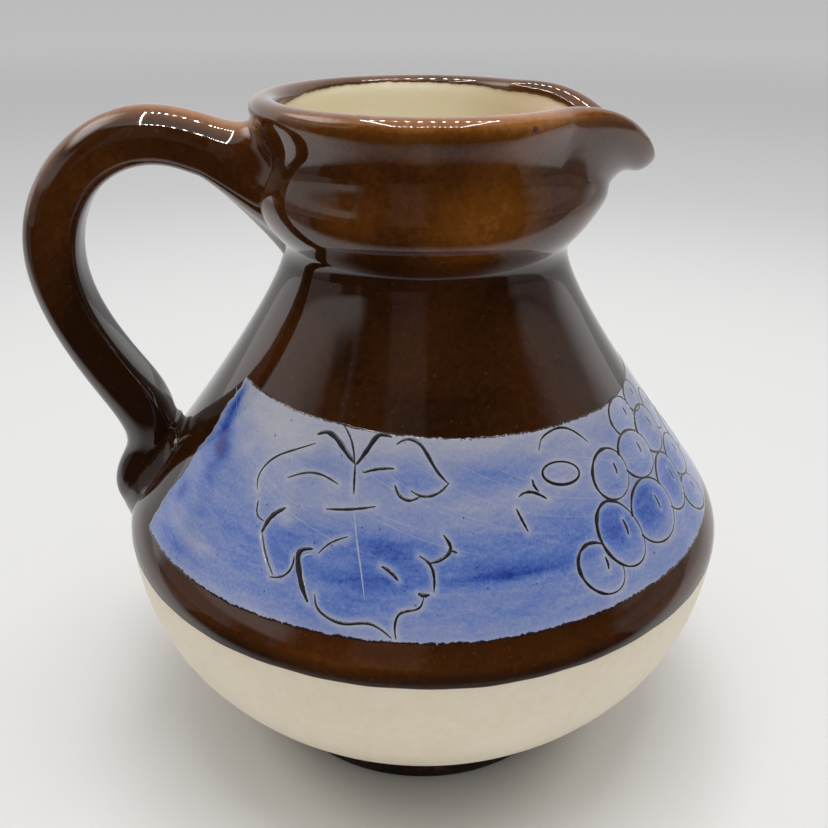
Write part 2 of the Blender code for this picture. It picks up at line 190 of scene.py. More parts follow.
lineRuns, lineShape = softenedLine(outerLine(), jug["softening"])
pooledShape = softenedLine(outerLine(), jug["neckSoftening"])[1]
neckPlace = lineRuns[np.argmin(np.hypot(*(lineShape - jug["neck"]).T))]
neckPoolAndInsideShade = np.exp(-((lineRuns - neckPlace) / jug["neckReach"]) ** 2)[:, None]
lineShape = lineShape + neckPoolAndInsideShade * (pooledShape - lineShape)
outside = int(np.argmax(lineShape[:, 1]))       # from the lip's crown on, heights only fall
crownRun = lineRuns[outside]


def runAt(height):
    # run along the outer line where it falls past a height
    return np.interp(-np.asarray(height, float), -lineShape[outside:, 1], lineRuns[outside:])


def radiusAt(run):
    # radius of the outer line at a run
    return np.interp(run, lineRuns, lineShape[:, 0])


def heightAt(run):
    # height of the outer line at a run
    return np.interp(run, lineRuns, lineShape[:, 1])


def hump(share):
    # raised cosine: one at nothing, falling to nothing at one either way
    return 0.5 + 0.5 * np.cos(np.pi * np.minimum(np.abs(share), 1.0))


spoutRise = splineThrough(spout["rise"], 400)


def turnedPoints(radius, angle, height):
    # points from a radius and an angle about the jug's axis, and a height
    return np.stack(np.broadcast_arrays(radius * np.cos(angle), radius * np.sin(angle), height), -1)


def columnAngles(count):
    # even angles once round the jug, in one row
    return np.linspace(-math.pi, math.pi, count, endpoint=False)[None, :]


def pulled(radius, height, angle):
    # the wall's point at an angle, made uneven by slow sines, then drawn out and down near +X by its shares
    angle = (angle + math.pi) % math.tau - math.pi
    radius = radius + jug["wobble"] * (np.sin(2 * angle + 0.7) + 0.6 * np.sin(3 * angle - 1.1 + height / 30.0)
                                       + 0.5 * np.sin(height / 6.5 + angle))
    level = np.minimum(height, springHeight) - spout["lag"] * (jug["lipRadius"] + jug["lipHalf"] - radius)
    drawn, lowered = (np.interp(level, spoutRise[:, 0], np.clip(spoutRise[:, k], 0.0, 1.0)) for k in (1, 2))
    turn = np.abs(angle) / spout["halfAngle"]
    pull = hump(turn)
    dent = spout["pinch"] * hump((turn - 1) / spout["dentSpread"])
    reach = spout["reach"] * pull ** spout["reachPower"] - dent
    fill, fillAngle, fillReach = spout["coveFill"]
    filled = fill * hump(angle / fillAngle) * np.exp(-((height - jug["cove"][1]) / fillReach) ** 2)
    radius = radius + drawn * reach + filled
    height = height - lowered * spout["drop"] * pull ** spout["dropPower"]
    return turnedPoints(radius, angle, height)


def wall(run, angle):
    # outer skin as a function of the run down its line and the angle round it
    return pulled(radiusAt(run), heightAt(run), angle)


def unit(vectors):
    # each vector over its own length
    return vectors / np.maximum(np.linalg.norm(vectors, axis=-1, keepdims=True), 1e-9)


def skinNormal(run, angle, step=0.04, turn=0.002):
    # square to the skin: its slope down the line crossed with its slope round the jug
    down = wall(run + step, angle) - wall(run - step, angle)
    across = wall(run, angle + turn) - wall(run, angle - turn)
    return unit(np.cross(down, across))


def skin(run, angle, depth=0.0):
    # a point of the wall, raised square to it by a depth
    run, angle, depth = (np.asarray(v, float) for v in np.broadcast_arrays(run, angle, depth))
    return wall(run, angle) + depth[..., None] * skinNormal(run, angle)


def smoothStep(low, high, value):
    # nothing below low, one above high, 3t^2 - 2t^3 between
    t = np.clip((value - low) / (high - low), 0.0, 1.0)
    return t * t * (3 - 2 * t)


def spreadRows(start, end, count, crowded):
    # row places with a density of one plus a bell at each crowded place (place, reach, weight)
    fine = np.linspace(start, end, 4000)
    density = np.ones_like(fine)
    for place, reach, weight in crowded:
        density += weight * np.exp(-((fine - place) / reach) ** 2)
    share = np.concatenate(([0.0], np.cumsum(0.5 * (density[1:] + density[:-1]))))
    return np.interp(np.linspace(0.0, share[-1], count), share, fine)


def gridFaces(rows, cols, wrapRows=False, wrapCols=False):
    # quads (i,j), (i+1,j), (i+1,j+1), (i,j+1): they face rows x columns
    i = np.arange(rows if wrapRows else rows - 1)[:, None]
    j = np.arange(cols if wrapCols else cols - 1)[None, :]
    nextRow, nextCol = (i + 1) % rows, (j + 1) % cols
    corners = (i * cols + j, nextRow * cols + j, nextRow * cols + nextCol, i * cols + nextCol)
    return np.stack(np.broadcast_arrays(*corners), -1).reshape(-1, 4)


def poleFaces(rows, cols, first, last):
    # fans that close a tube of wrapped columns at a vertex before its first and after its last row
    j = np.arange(cols)
    nextCol = (j + 1) % cols
    end = (rows - 1) * cols
    start = np.stack((np.full(cols, first), j, nextCol), -1)
    finish = np.stack((end + j, np.full(cols, last), end + nextCol), -1)
    return np.vstack((start, finish))


def tubeParts(points, poles):
    # vertices and faces of a tube of rings with a pole at each end
    rows, cols = points.shape[:2]
    corners = np.vstack((points.reshape(-1, 3), np.asarray(poles, float).reshape(2, 3)))
    faces = gridFaces(rows, cols, wrapCols=True).tolist()
    return corners, faces + poleFaces(rows, cols, rows * cols, rows * cols + 1).tolist()


def ringParts(points):
    # vertices and faces of a grid that closes on itself both ways
    return points.reshape(-1, 3), gridFaces(*points.shape[:2], wrapRows=True, wrapCols=True).tolist()


def pillowParts(front, back):
    # two sheets of one grid that share their rim: the back's rim indices point at the front's
    rows, cols = front.shape[:2]
    index = np.arange(rows * cols).reshape(rows, cols)
    inner = np.full((rows, cols), -1)
    inner[1:-1, 1:-1] = np.arange((rows - 2) * (cols - 2)).reshape(rows - 2, cols - 2) + rows * cols
    under = np.where(inner < 0, index, inner).ravel()
    faces = gridFaces(rows, cols)
    corners = np.vstack((front.reshape(-1, 3), back[1:-1, 1:-1].reshape(-1, 3)))
    return corners, np.vstack((faces, under[faces][:, ::-1])).tolist()


def placed(name, data):
    # an object with its data, linked to the scene
    thing = bpy.data.objects.new(name, data)
    bpy.context.scene.collection.objects.link(thing)
    return thing


def makePiece(name, corners, faces, material, slotName, values=None, flat=None):
    # a smooth mesh in metres, with point values and a flat map by name, riding on the jug
    mesh = bpy.data.meshes.new(name)
    mesh.from_pydata((corners * mm).tolist(), [], faces)
    mesh.shade_smooth()
    for key, value in (values or {}).items():
        padded = np.zeros(len(corners), np.float32)
        padded[:value.size] = value.ravel()
        mesh.attributes.new(key, "FLOAT", "POINT").data.foreach_set("value", padded)
    if flat is not None:
        loops = np.empty(len(mesh.loops), np.int32)
        mesh.loops.foreach_get("vertex_index", loops)
        padded = np.zeros((len(corners), 2), np.float32)
        padded[:len(flat)] = flat
        mesh.uv_layers.new(name="flat").data.foreach_set("uv", padded[loops].ravel())
    mesh.materials.append(material)
    piece = placed(name, mesh)
    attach(piece, "root")
    print("piece", name, len(mesh.polygons), "faces")
    return piece


# Shader helpers
def feed(tree, socket, value):
    # a link from another node's socket, or a plain value; a color of three numbers is made opaque
    if isinstance(value, bpy.types.NodeSocket):
        tree.links.new(value, socket)
    elif socket.type == "RGBA" and len(value) == 3:
        socket.default_value = (*value, 1.0)
    else:
        socket.default_value = value


def addNode(tree, kind, inputs=None, **settings):
    # a node of a kind, with its settings and what feeds its inputs
    node = tree.nodes.new("ShaderNode" + kind)
    for key, value in settings.items():
        setattr(node, key, value)
    for key, value in (inputs or {}).items():
        feed(tree, node.inputs[key], value)
    return node


def sums(tree, operation, first, second=0.0, third=0.0, clamp=False):
    # one arithmetic step
    node = addNode(tree, "Math", {0: first, 1: second, 2: third}, operation=operation, use_clamp=clamp)
    return node.outputs[0]


def swayed(tree, value, swing, base=0.0, clamp=False):
    # a base, plus a swing times how far a value is from one half
    return sums(tree, "MULTIPLY_ADD", sums(tree, "SUBTRACT", value, 0.5), swing, base, clamp)


def blendColors(tree, share, first, second, mode="MIX"):
    # from a first color to a second by a share
    node = addNode(tree, "Mix", data_type="RGBA", blend_type=mode)
    for index, value in ((0, share), (6, first), (7, second)):
        feed(tree, node.inputs[index], value)
    return node.outputs[2]


def rampColors(tree, share, stops):
    # a color by stops of (place, color)
    node = addNode(tree, "ValToRGB", {0: share})
    ramp = node.color_ramp
    while len(ramp.elements) < len(stops):
        ramp.elements.new(0.5)
    for element, (place, color) in zip(ramp.elements, stops):
        element.position = place
        element.color = (*color, 1.0)
    return node.outputs[0]


def span(tree, value, low, high, toLow=0.0, toHigh=1.0, kind="SMOOTHSTEP"):
    # a value's range carried to another, clamped
    node = addNode(tree, "MapRange", {"Value": value, "From Min": low, "From Max": high, "To Min": toLow,
                                      "To Max": toHigh}, interpolation_type=kind)
    return node.outputs[0]


def between(tree, value, low, high, lowFade, highFade):
    # one between two limits, fading to nothing across each
    return sums(tree, "MULTIPLY", span(tree, value, low - lowFade, low + lowFade),
                span(tree, value, high - highFade, high + highFade, 1.0, 0.0))


def noise(tree, place, scale, detail=4.0, roughness=0.55, distortion=0.0):
    # cloudy noise about one half
    node = addNode(tree, "TexNoise", {"Vector": place, "Scale": scale, "Detail": detail,
                                      "Roughness": roughness, "Distortion": distortion})
    return node.outputs["Fac"]


def stretched(tree, place, scale):
    # a place scaled along each axis
    return addNode(tree, "Mapping", {"Vector": place, "Scale": scale}).outputs[0]


def lengthOf(tree, place):
    # distance from the origin
    return addNode(tree, "VectorMath", {0: place}, operation="LENGTH").outputs["Value"]


def attribute(tree, name):
    # one of the mesh's own point values
    return addNode(tree, "Attribute", attribute_name=name).outputs["Fac"]


def newGroup(name, inputs, output):
    # an empty node group: a vector input for Place, a number for each other input, and one output
    group = bpy.data.node_groups.new(name, "ShaderNodeTree")
    group.interface.new_socket("Place", in_out="INPUT", socket_type="NodeSocketVector")
    for label, value in inputs.items():
        socket = group.interface.new_socket(label, in_out="INPUT", socket_type="NodeSocketFloat")
        socket.default_value = value
    group.interface.new_socket(output, in_out="OUTPUT", socket_type="NodeSocketFloat")
    entry = group.nodes.new("NodeGroupInput").outputs
    result = group.nodes.new("NodeGroupOutput").inputs
    return group, entry, result[output]


def placeGroup(tree, group, values):
    # a group's output, with its inputs fed by name
    node = tree.nodes.new("ShaderNodeGroup")
    node.node_tree = group
    for key, value in values.items():
        feed(tree, node.inputs[key], value)
    return node.outputs[0]


def mottleGroup():
    # Mask: broad clouds and fine grain of a melted coat, about one half
    group, entry, result = newGroup("glazeMottle", {"Clouds": 60.0, "Grain": 900.0}, "Mask")
    clouds = noise(group, entry["Place"], entry["Clouds"], 5.0, 0.55, 0.6)
    grain = noise(group, entry["Place"], entry["Grain"], 3.0, 0.6)
    both = sums(group, "MULTIPLY_ADD", grain, 0.4, sums(group, "MULTIPLY", clouds, 0.6))
    feed(group, result, span(group, both, 0.28, 0.72))
    return group


def speckGroup():
    # Mask: sparse round specks, each cell of a Voronoi pattern keeping one if its own color is bright
    group, entry, result = newGroup("kilnSpecks", {"Scale": 500.0, "Size": 0.2, "Rare": 0.8}, "Mask")
    cells = addNode(group, "TexVoronoi", {"Vector": entry["Place"], "Scale": entry["Scale"]})
    shade = addNode(group, "SeparateColor", {0: cells.outputs["Color"]})
    chosen = sums(group, "GREATER_THAN", shade.outputs[0], entry["Rare"])
    size = sums(group, "MULTIPLY", entry["Size"], shade.outputs[1])
    dot = sums(group, "LESS_THAN", cells.outputs["Distance"], size)
    feed(group, result, sums(group, "MULTIPLY", chosen, dot))
    return group


def peelGroup():
    # Height: slow ripples and fine orange peel of a fired glaze
    group, entry, result = newGroup("glazePeel", {"Ripple": 90.0, "Peel": 700.0}, "Height")
    ripple = noise(group, entry["Place"], entry["Ripple"], 2.0, 0.5)
    peel = noise(group, entry["Place"], entry["Peel"], 2.0, 0.5)
    feed(group, result, sums(group, "MULTIPLY_ADD", peel, 0.12, ripple))
    return group


glazeMottle = mottleGroup()
kilnSpecks = speckGroup()
glazePeel = peelGroup()


def newMaterial(name, s):
    # a material with its constant settings, its tree, its shader and its place on the piece
    material = bpy.data.materials.new(name)
    material.use_nodes = True
    tree = material.node_tree
    shader = tree.nodes["Principled BSDF"]
    shader.inputs["Roughness"].default_value = s.get("roughness", 0.5)
    shader.inputs["IOR"].default_value = s.get("ior", 1.5)
    shader.inputs["Specular IOR Level"].default_value = s.get("specular", 0.5)
    place = addNode(tree, "TexCoord").outputs["Object"]
    return material, tree, shader, place


def mottled(tree, place, clouds, grain):
    # the mottle's mask at two scales
    return placeGroup(tree, glazeMottle, {"Place": place, "Clouds": clouds, "Grain": grain})


def specks(tree, place, scale, size, rare, share):
    # the specks' mask, times how strong they are
    mask = placeGroup(tree, kilnSpecks, {"Place": place, "Scale": scale, "Size": size, "Rare": rare})
    return sums(tree, "MULTIPLY", mask, share)


def finishCoat(tree, shader, place, s, color, gloss=None):
    # specks over a color, a roughness where it changes, and the peel's height as a bump
    for *look, speckColor in s.get("specks", ()):
        color = blendColors(tree, specks(tree, place, *look), color, speckColor)
    feed(tree, shader.inputs["Base Color"], color)
    if gloss is not None:
        feed(tree, shader.inputs["Roughness"], gloss)
    strength, distance, ripple, peel = s["peel"]
    height = placeGroup(tree, glazePeel, {"Place": place, "Ripple": ripple, "Peel": peel})
    bump = addNode(tree, "Bump", {"Strength": strength, "Distance": distance, "Height": height})
    feed(tree, shader.inputs["Normal"], bump.outputs[0])


# Finishes. A mottle is clouds and grain per metre; specks are scale, size, how rare, how strong, and a color;
# gloss is a roughness from low to high by the mottle; a peel is strength, distance, and its two scales
treacle = {
    # by how thin the coat is: pooled, full, amber, and bare over an edge
    "ramp": ((0.0, (0.020, 0.0065, 0.0020)), (0.33, (0.060, 0.0175, 0.0034)),
             (0.68, (0.150, 0.048, 0.0060)), (1.0, (0.340, 0.130, 0.0300))),
    "mottle": (75.0, 1100.0),
    "mottleSwing": 0.30,
    "specks": ((1500.0, 0.34, 0.80, 0.16, (0.20, 0.078, 0.02)),
               (420.0, 0.22, 0.90, 0.6, (0.012, 0.004, 0.002))),
    "gloss": (0.030, 0.058),
    "dulled": 0.36,             # added where the coat dulls
    "ior": 1.68,
    "peel": (0.10, 0.0005, 90.0, 700.0),
}
creamware = {
    "colors": ((0.875, 0.748, 0.542), (0.945, 0.856, 0.682)),
    "mottle": (35.0, 600.0),
    "specks": ((260.0, 0.10, 0.93, 0.5, (0.34, 0.24, 0.13)),),
    "gloss": (0.27, 0.37),
    "peel": (0.08, 0.0004, 90.0, 700.0),
}
insideCream = {
    **creamware,
    "colors": ((0.985, 0.905, 0.640), (0.995, 0.945, 0.730)),
    "gloss": (0.19, 0.29),
    "neckPoolAndInsideShade": (0.84, 0.70, 0.66),           # painted shade: darker and warmer towards the spout
    "paintedShadeAcross": (-0.004, 0.030),        # between these places along x, in metres
}
footBrown = {
    "colors": ((0.008, 0.0035, 0.002), (0.020, 0.008, 0.004)),
    "mottle": (90.0, 900.0),
    "rings": (30.0, 30.0, 2600.0),          # turning marks, tight along the axis
    "worn": (0.11, 0.055, 0.028),
    "wornLimits": (0.62, 0.8),
    "wornShare": 0.5,
    "gloss": (0.22, 0.42),
    "specular": 0.22,
    "peel": (0.15, 0.0004, 90.0, 700.0),
}
clay = {
    "colors": ((0.55, 0.43, 0.32), (0.66, 0.54, 0.42)),
    "mottle": (50.0, 1500.0),
    "specks": ((700.0, 0.3, 0.8, 0.5, (0.30, 0.20, 0.13)),),
    "roughness": 0.82,
    "peel": (0.4, 0.0004, 300.0, 1500.0),
}


def brownMaterial(s):
    # how thin the coat is, swayed by the mottle, chooses the color; the lower edge is rougher
    material, tree, shader, place = newMaterial("treacleGlaze", s)
    mottle = mottled(tree, place, *s["mottle"])
    tone = swayed(tree, mottle, s["mottleSwing"], attribute(tree, "thin"), True)
    gloss = span(tree, mottle, 0.0, 1.0, *s["gloss"], "LINEAR")
    gloss = sums(tree, "MULTIPLY_ADD", attribute(tree, "dull"), s["dulled"], gloss)
    finishCoat(tree, shader, place, s, rampColors(tree, tone, s["ramp"]), gloss)
    return material


def coatMaterial(name, s):
    # the mottle blends two colors and sets the gloss; a coat may also take painted shade along x, or wear on
    # turning marks
    material, tree, shader, place = newMaterial(name, s)
    mottle = mottled(tree, place, *s["mottle"])
    color = blendColors(tree, mottle, *s["colors"])
    # painted shade: the color is darkened and warmed along x
    if "neckPoolAndInsideShade" in s:
        across = addNode(tree, "SeparateXYZ", {0: place}).outputs[0]
        color = blendColors(tree, span(tree, across, *s["paintedShadeAcross"]), color, s["neckPoolAndInsideShade"], "MULTIPLY")
    if "worn" in s:
        rings = noise(tree, stretched(tree, place, s["rings"]), 1.0, 2.0)
        both = sums(tree, "MULTIPLY_ADD", rings, 0.4, sums(tree, "MULTIPLY", mottle, 0.6))
        worn = sums(tree, "MULTIPLY", span(tree, both, *s["wornLimits"]), s["wornShare"])
        color = blendColors(tree, worn, color, s["worn"])
    gloss = span(tree, mottle, 0.0, 1.0, *s["gloss"], "LINEAR") if "gloss" in s else None
    finishCoat(tree, shader, place, s, color, gloss)
    return material


cobalt = {
    # by depth of blue, from bare white to ink
    "ramp": ((0.0, (0.415, 0.415, 0.470)), (0.22, (0.260, 0.295, 0.455)), (0.5, (0.102, 0.172, 0.455)),
             (0.78, (0.030, 0.072, 0.330)), (1.0, (0.012, 0.030, 0.200))),
    # grain, brush marks and broad streaks: scale round and up, detail, roughness, distortion, swing
    "streaks": ((2.2, 2.2, 6.0, 0.75, 0.3, 0.80), (0.30, 1.10, 5.0, 0.65, 0.8, 0.55),
                (0.05, 0.22, 5.0, 0.6, 0.5, 0.60)),
    "streakShare": (0.6, 0.30, 1.0),        # wash at which streaks are full, their share without and with it
    "crumbs": (2.2, 3.0, 0.75),             # dark crumbs at the rim: scale, detail, roughness
    "crumbSwing": 0.90,
    "crumbLimits": (0.80, 0.86),
    "dust": (0.8, 0.13, 0.72, 0.7),
    "dark": (0.022, 0.012, 0.012),
    "roughness": 0.12,
    "ior": 1.55,
    "peel": (0.10, 0.0004, 120.0, 900.0),
}


def cobaltMaterial(s):
    # the wash, swayed by streaks on the flat map, chooses the color; crumbs and dust darken it
    material, tree, shader, place = newMaterial("cobaltGlaze", s)
    flat = addNode(tree, "UVMap", uv_map="flat").outputs[0]
    wash = attribute(tree, "cobalt")
    streak = 0.0
    for wide, up, detail, roughness, distortion, swing in s["streaks"]:
        marks = noise(tree, stretched(tree, flat, (wide, up, 1.0)), 1.0, detail, roughness, distortion)
        streak = swayed(tree, marks, swing, streak)
    full, bare, washed = s["streakShare"]
    strength = span(tree, wash, 0.0, full, bare, washed, "LINEAR")
    tone = sums(tree, "MULTIPLY_ADD", streak, strength, wash, clamp=True)
    color = rampColors(tree, tone, s["ramp"])
    crumbs = swayed(tree, noise(tree, flat, *s["crumbs"]), s["crumbSwing"], attribute(tree, "rim"))
    crumbs = span(tree, crumbs, *s["crumbLimits"])
    spots = sums(tree, "MAXIMUM", crumbs, specks(tree, flat, *s["dust"]))
    finishCoat(tree, shader, place, s, blendColors(tree, spots, color, s["dark"]))
    return material


blackLine = {
    "noise": (2200.0, 3.0, 0.6),            # scale, detail, roughness
    "ramp": ((0.0, (0.006, 0.006, 0.008)), (0.62, (0.014, 0.013, 0.017)), (0.80, (0.075, 0.075, 0.10))),
    "roughness": 0.24,
    "peel": (0.08, 0.0003, 90.0, 700.0),
}
paleLine = {
    **blackLine,
    "noise": (700.0, 4.0, 0.6),
    "ramp": ((0.25, (0.22, 0.265, 0.43)), (0.5, (0.33, 0.36, 0.48)), (0.75, (0.42, 0.43, 0.50))),
    "roughness": 0.14,
    "ior": 1.55,
}


def lineMaterial(name, s):
    # uneven paint: one noise chooses the color
    material, tree, shader, place = newMaterial(name, s)
    finishCoat(tree, shader, place, s, rampColors(tree, noise(tree, place, *s["noise"]), s["ramp"]))
    return material


treacleGlaze = brownMaterial(treacle)
creamGlaze = coatMaterial("creamGlaze", creamware)
linerGlaze = coatMaterial("linerGlaze", insideCream)
cobaltGlaze = cobaltMaterial(cobalt)
blackInk = lineMaterial("blackInk", blackLine)
resistHalo = lineMaterial("resistHalo", paleLine)
footGlaze = coatMaterial("footGlaze", footBrown)
firedClay = coatMaterial("firedClay", clay)
print("materials made")


# Brown coat: from inside the lip down to the cream edge
brownCoat = {
    "columns": 336,
    "rows": 186,
    "backEvery": 3,
    "thickness": 0.4,
    "lipStart": 1.0,            # run past the lip's inner springing where the coat begins
    "lipDips": ((math.pi, 1.1, 1.6), (0.65, 0.6, 0.9)),     # where it runs further in: angle, reach, depth
    "lipWave": 0.16,
    "lipJag": 0.05,
    "edgeWave": 0.16,
    "edgeRound": 0.32,
    "thinHeights": (38.0, 39.3, 40.4, 41.6, 43.0, 45.0, 60.0, 78.0, 84.0, 86.0, 88.0, 91.0,
                    93.0, 98.0, 100.0, 104.5, 106.0, 107.0),
    "thinValues": (0.02, 0.05, 0.10, 0.30, 0.22, 0.12, 0.10, 0.14, 0.10, 0.05, 0.12, 0.28,
                   0.38, 0.34, 0.26, 0.34, 0.66, 0.90),
    "thinInside": 0.85,                 # inside the lip
    "gathered": 0.75,                   # glaze gathers dark along its lower edge
    "dullEdge": (38.6, 41.0),           # the coat dulls between these heights, towards the cream
    "lipHeights": (104.8, 106.2),
    "lipShade": (0.25, 1.6, 0.45),      # the lip is darker away from this azimuth: reach, how much
    "amberPatch": (0.35, 96.0, 0.30, 9.0, 0.28),    # azimuth, height, their reaches, and how much thinner
}


def unevenEdge(angle, size):
    # a hand-brushed edge: a few sines of unlike waves round the jug
    return size * (np.sin(3 * angle + 1.0) + 0.7 * np.sin(7 * angle - 0.5) + 0.45 * np.sin(17 * angle + 2.0)
                   + 0.35 * np.sin(41 * angle + 0.3)) / 1.6


def coatThinness(run, angle, height, over):
    # a value by height, less at the gathered edge and round the lip, more in the amber patch, then slow sines
    s = brownCoat
    thin = np.where(run < crownRun, s["thinInside"], np.interp(height, s["thinHeights"], s["thinValues"]))
    thin = thin * (1 - s["gathered"] * over * (run > crownRun))
    away, reach, less = s["lipShade"]
    shaded = 1 - hump((angle - photoSide - away) / reach)
    thin *= 1 - less * smoothStep(*s["lipHeights"], height) * shaded
    away, level, reachRound, reachUp, more = s["amberPatch"]
    patch = hump((angle - photoSide - away) / reachRound / 2)
    thin += more * patch * np.exp(-((height - level) / reachUp) ** 4)
    return thin + (0.05 * np.sin(5 * angle + height / 9.0) + 0.04 * np.sin(9 * angle - height / 5.0 + 1.0))


def buildBrownCoat():
    # front rows from lip to cream edge, rounded over at both ends, then the back set in by the thickness
    s = brownCoat
    angle = columnAngles(s["columns"])
    meanStart = jug["inside"] + s["lipStart"]
    jag = s["lipJag"] * np.sin(87 * angle + np.sin(31 * angle))
    start = meanStart + unevenEdge(angle + 0.4, s["lipWave"]) + jag
    for place, reach, dip in s["lipDips"]:
        start = start - dip * hump(((angle - place + math.pi) % math.tau - math.pi) / reach)
    meanEnd = float(runAt(jug["creamEdge"]))
    end = meanEnd + unevenEdge(angle, s["edgeWave"])
    neckRun = float(runAt(jug["neck"][1]))
    rows = spreadRows(meanStart, meanEnd, s["rows"], (
        (meanStart, 0.5, 3.0), (crownRun, 2.5, 3.0), (neckRun, 2.6, 2.5), (meanEnd, 0.7, 5.0)))[:, None]
    share = (rows - meanStart) / (meanEnd - meanStart)
    run = start + share * (end - start)
    over = np.clip(1 - np.minimum(run - start, end - run) / s["edgeRound"], 0.0, 1.0)
    front = skin(run, angle, -s["thickness"] * (1 - np.sqrt(1 - over ** 2)))
    backRun = run[::-1][s["backEvery"]:-s["backEvery"]:s["backEvery"]]
    back = skin(backRun, angle, -s["thickness"])
    height = heightAt(run)
    values = {"thin": coatThinness(run, angle, height, over), "dull": 1 - smoothStep(*s["dullEdge"], height)}
    piece = makePiece("brownCoat", *ringParts(np.vstack((front, back))), treacleGlaze, "brown_glaze", values)
    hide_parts("brown_glaze")


# Cream coat on the lower bowl
creamBowl = {
    "columns": 300,
    "rows": 84,
    "backRows": 22,
    "tuck": 1.0,                # runs up under the brown edge
    "depth": -0.12,
    "thickness": 0.45,
    "ringHeight": 0.012,        # faint throwing rings
}


def buildCreamBowl():
    # front rows from under the brown edge to the foot, with faint rings, then a back set in by the thickness
    s = creamBowl
    angle = columnAngles(s["columns"])
    top, low = float(runAt(jug["creamEdge"])) - s["tuck"], lineRuns[-1] - 0.02
    run = np.linspace(top, low, s["rows"])[:, None]
    rings = s["ringHeight"] * (np.sin(run * 2.1 + 0.6 * np.sin(angle)) + 0.6 * np.sin(run * 0.9 + 1.3))
    front = skin(run, angle, s["depth"] + rings)
    back = skin(np.linspace(low, top, s["backRows"] + 2)[1:-1, None], angle, s["depth"] - s["thickness"])
    piece = makePiece("creamBowl", *ringParts(np.vstack((front, back))), creamGlaze, "cream_glaze")
    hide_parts("bowl_glaze")


# Cream coat inside
creamLiner = {
    "columns": 260,
    "rows": 120,
    "backEvery": 3,
    "thickness": 0.4,
    "lipTurn": math.radians(46.0),      # how far up the lip's inner side it begins
    "sink": 0.12,               # lies this far under the brown at the lip
    "floorRise": 0.5,           # coat above its lowest point
    "slopeReach": 1.2,          # the wall's slope is taken this far either way
    "softening": 1.1,
    "centerRadius": 1.2,
}


def innerLine():
    # down the lip's inner side, then the outer line set in by the wall, then across the floor
    s = creamLiner
    lip = lipLine(s["lipTurn"], 0.0, s["sink"], 24)
    runs = np.arange(runAt(jug["collar"][1]), lineRuns[-1], 0.3)
    before, here, after = (np.column_stack((radiusAt(r), heightAt(r)))
                           for r in (runs - s["slopeReach"], runs, runs + s["slopeReach"]))
    down = unit(after - before)
    inner = here + jug["wall"] * np.column_stack((down[:, 1], -down[:, 0]))
    floor = linerLow.z / mm + s["floorRise"]
    inner = inner[inner[:, 1] > floor]
    ground = np.column_stack((np.linspace(inner[-1, 0] - 0.5, s["centerRadius"], 40), np.full(40, floor)))
    return softenedLine(np.vstack((lip, inner, ground)), s["softening"])


def behindLiner(depth):
    # the inside's line moved square to itself, into the wall by a depth
    runs, shape = innerLine()
    slope = unit(np.gradient(shape, axis=0))
    return runs, shape + depth * np.column_stack((-slope[:, 1], slope[:, 0]))


def ringsAlong(runs, line, places, angle):
    # rings round the jug at places along a line
    return pulled(*(np.interp(places, runs, line[:, k])[:, None] for k in (0, 1)), angle)


def buildCreamLiner():
    # back from the floor's middle up to the lip, then the face from the lip down to the middle
    s = creamLiner
    angle = -columnAngles(s["columns"])
    runs, face = behindLiner(0.0)
    back = behindLiner(s["thickness"])[1]
    rows = spreadRows(0.0, runs[-1], s["rows"], ((2.0, 3.0, 3.0),))
    backRings = ringsAlong(runs, back, rows[::-1][1:-2:s["backEvery"]], angle)
    points = np.vstack((backRings, ringsAlong(runs, face, rows, angle)))
    corners, faces = tubeParts(points, ((0, 0, back[-1, 1]), (0, 0, face[-1, 1])))
    piece = makePiece("creamLiner", corners, faces, linerGlaze, "cream_glaze")
    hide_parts("cream_liner")


# Clay under the coats
clayBody = {
    "columns": 160,
    "insideRows": 60,
    "outsideRows": 110,
    "insideDepth": 0.5,         # behind the inside's coat
    "outsideDepth": 0.64,       # under the outer skin
}


def buildClayBody():
    # from the floor's middle up the inside, over the lip, down the outside and in across the seat
    s = clayBody
    angle = columnAngles(s["columns"])
    runs, line = behindLiner(s["insideDepth"])
    inside = ringsAlong(runs, line, np.linspace(runs[-1], 0.0, s["insideRows"]), angle)
    outsideRuns = np.linspace(crownRun - 1.2, lineRuns[-1] - 0.1, s["outsideRows"])[:, None]
    around = skin(outsideRuns, angle, -s["outsideDepth"])
    poles = ((0, 0, line[-1, 1]), (0, 0, footHigh.z / mm + 0.05))
    corners, faces = tubeParts(np.vstack((inside, around)), poles)
    piece = makePiece("clayBody", corners, faces, firedClay, "clay")
    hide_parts("body")


# Turned foot
turnedFoot = {"columns": 200, "round": 0.45, "bulge": 0.10, "roundSteps": 8, "sideSteps": 9, "faceSteps": 12}


def buildFoot():
    # a disc: over its top, round its upper edge, down a slightly full side, round the lower edge, back in
    s = turnedFoot
    radius, top = footHigh.y / mm, footHigh.z / mm
    quarter = np.linspace(0.0, 0.5 * math.pi, s["roundSteps"])
    inset = radius - s["round"]
    upper = np.column_stack((inset + s["round"] * np.sin(quarter), top - s["round"] * (1 - np.cos(quarter))))
    rise = np.linspace(top - s["round"], s["round"], s["sideSteps"])[1:-1]
    swell = s["bulge"] * np.sin(np.pi * (rise - s["round"]) / (top - 2 * s["round"]))
    side = np.column_stack((radius + swell, rise))
    lower = np.column_stack((upper[::-1, 0], top - upper[::-1, 1]))
    across = np.linspace(1.0, inset - 0.6, s["faceSteps"])
    over = np.column_stack((across, np.full_like(across, top)))
    under = np.column_stack((across[::-1], np.zeros_like(across)))
    line = np.vstack((over, upper, side, lower, under))
    points = turnedPoints(line[:, :1], columnAngles(s["columns"]), line[:, 1:])
    corners, faces = tubeParts(points, ((0, 0, top), (0, 0, 0)))
    piece = makePiece("turnedFoot", corners, faces, footGlaze, "foot_glaze")
    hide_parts("foot")


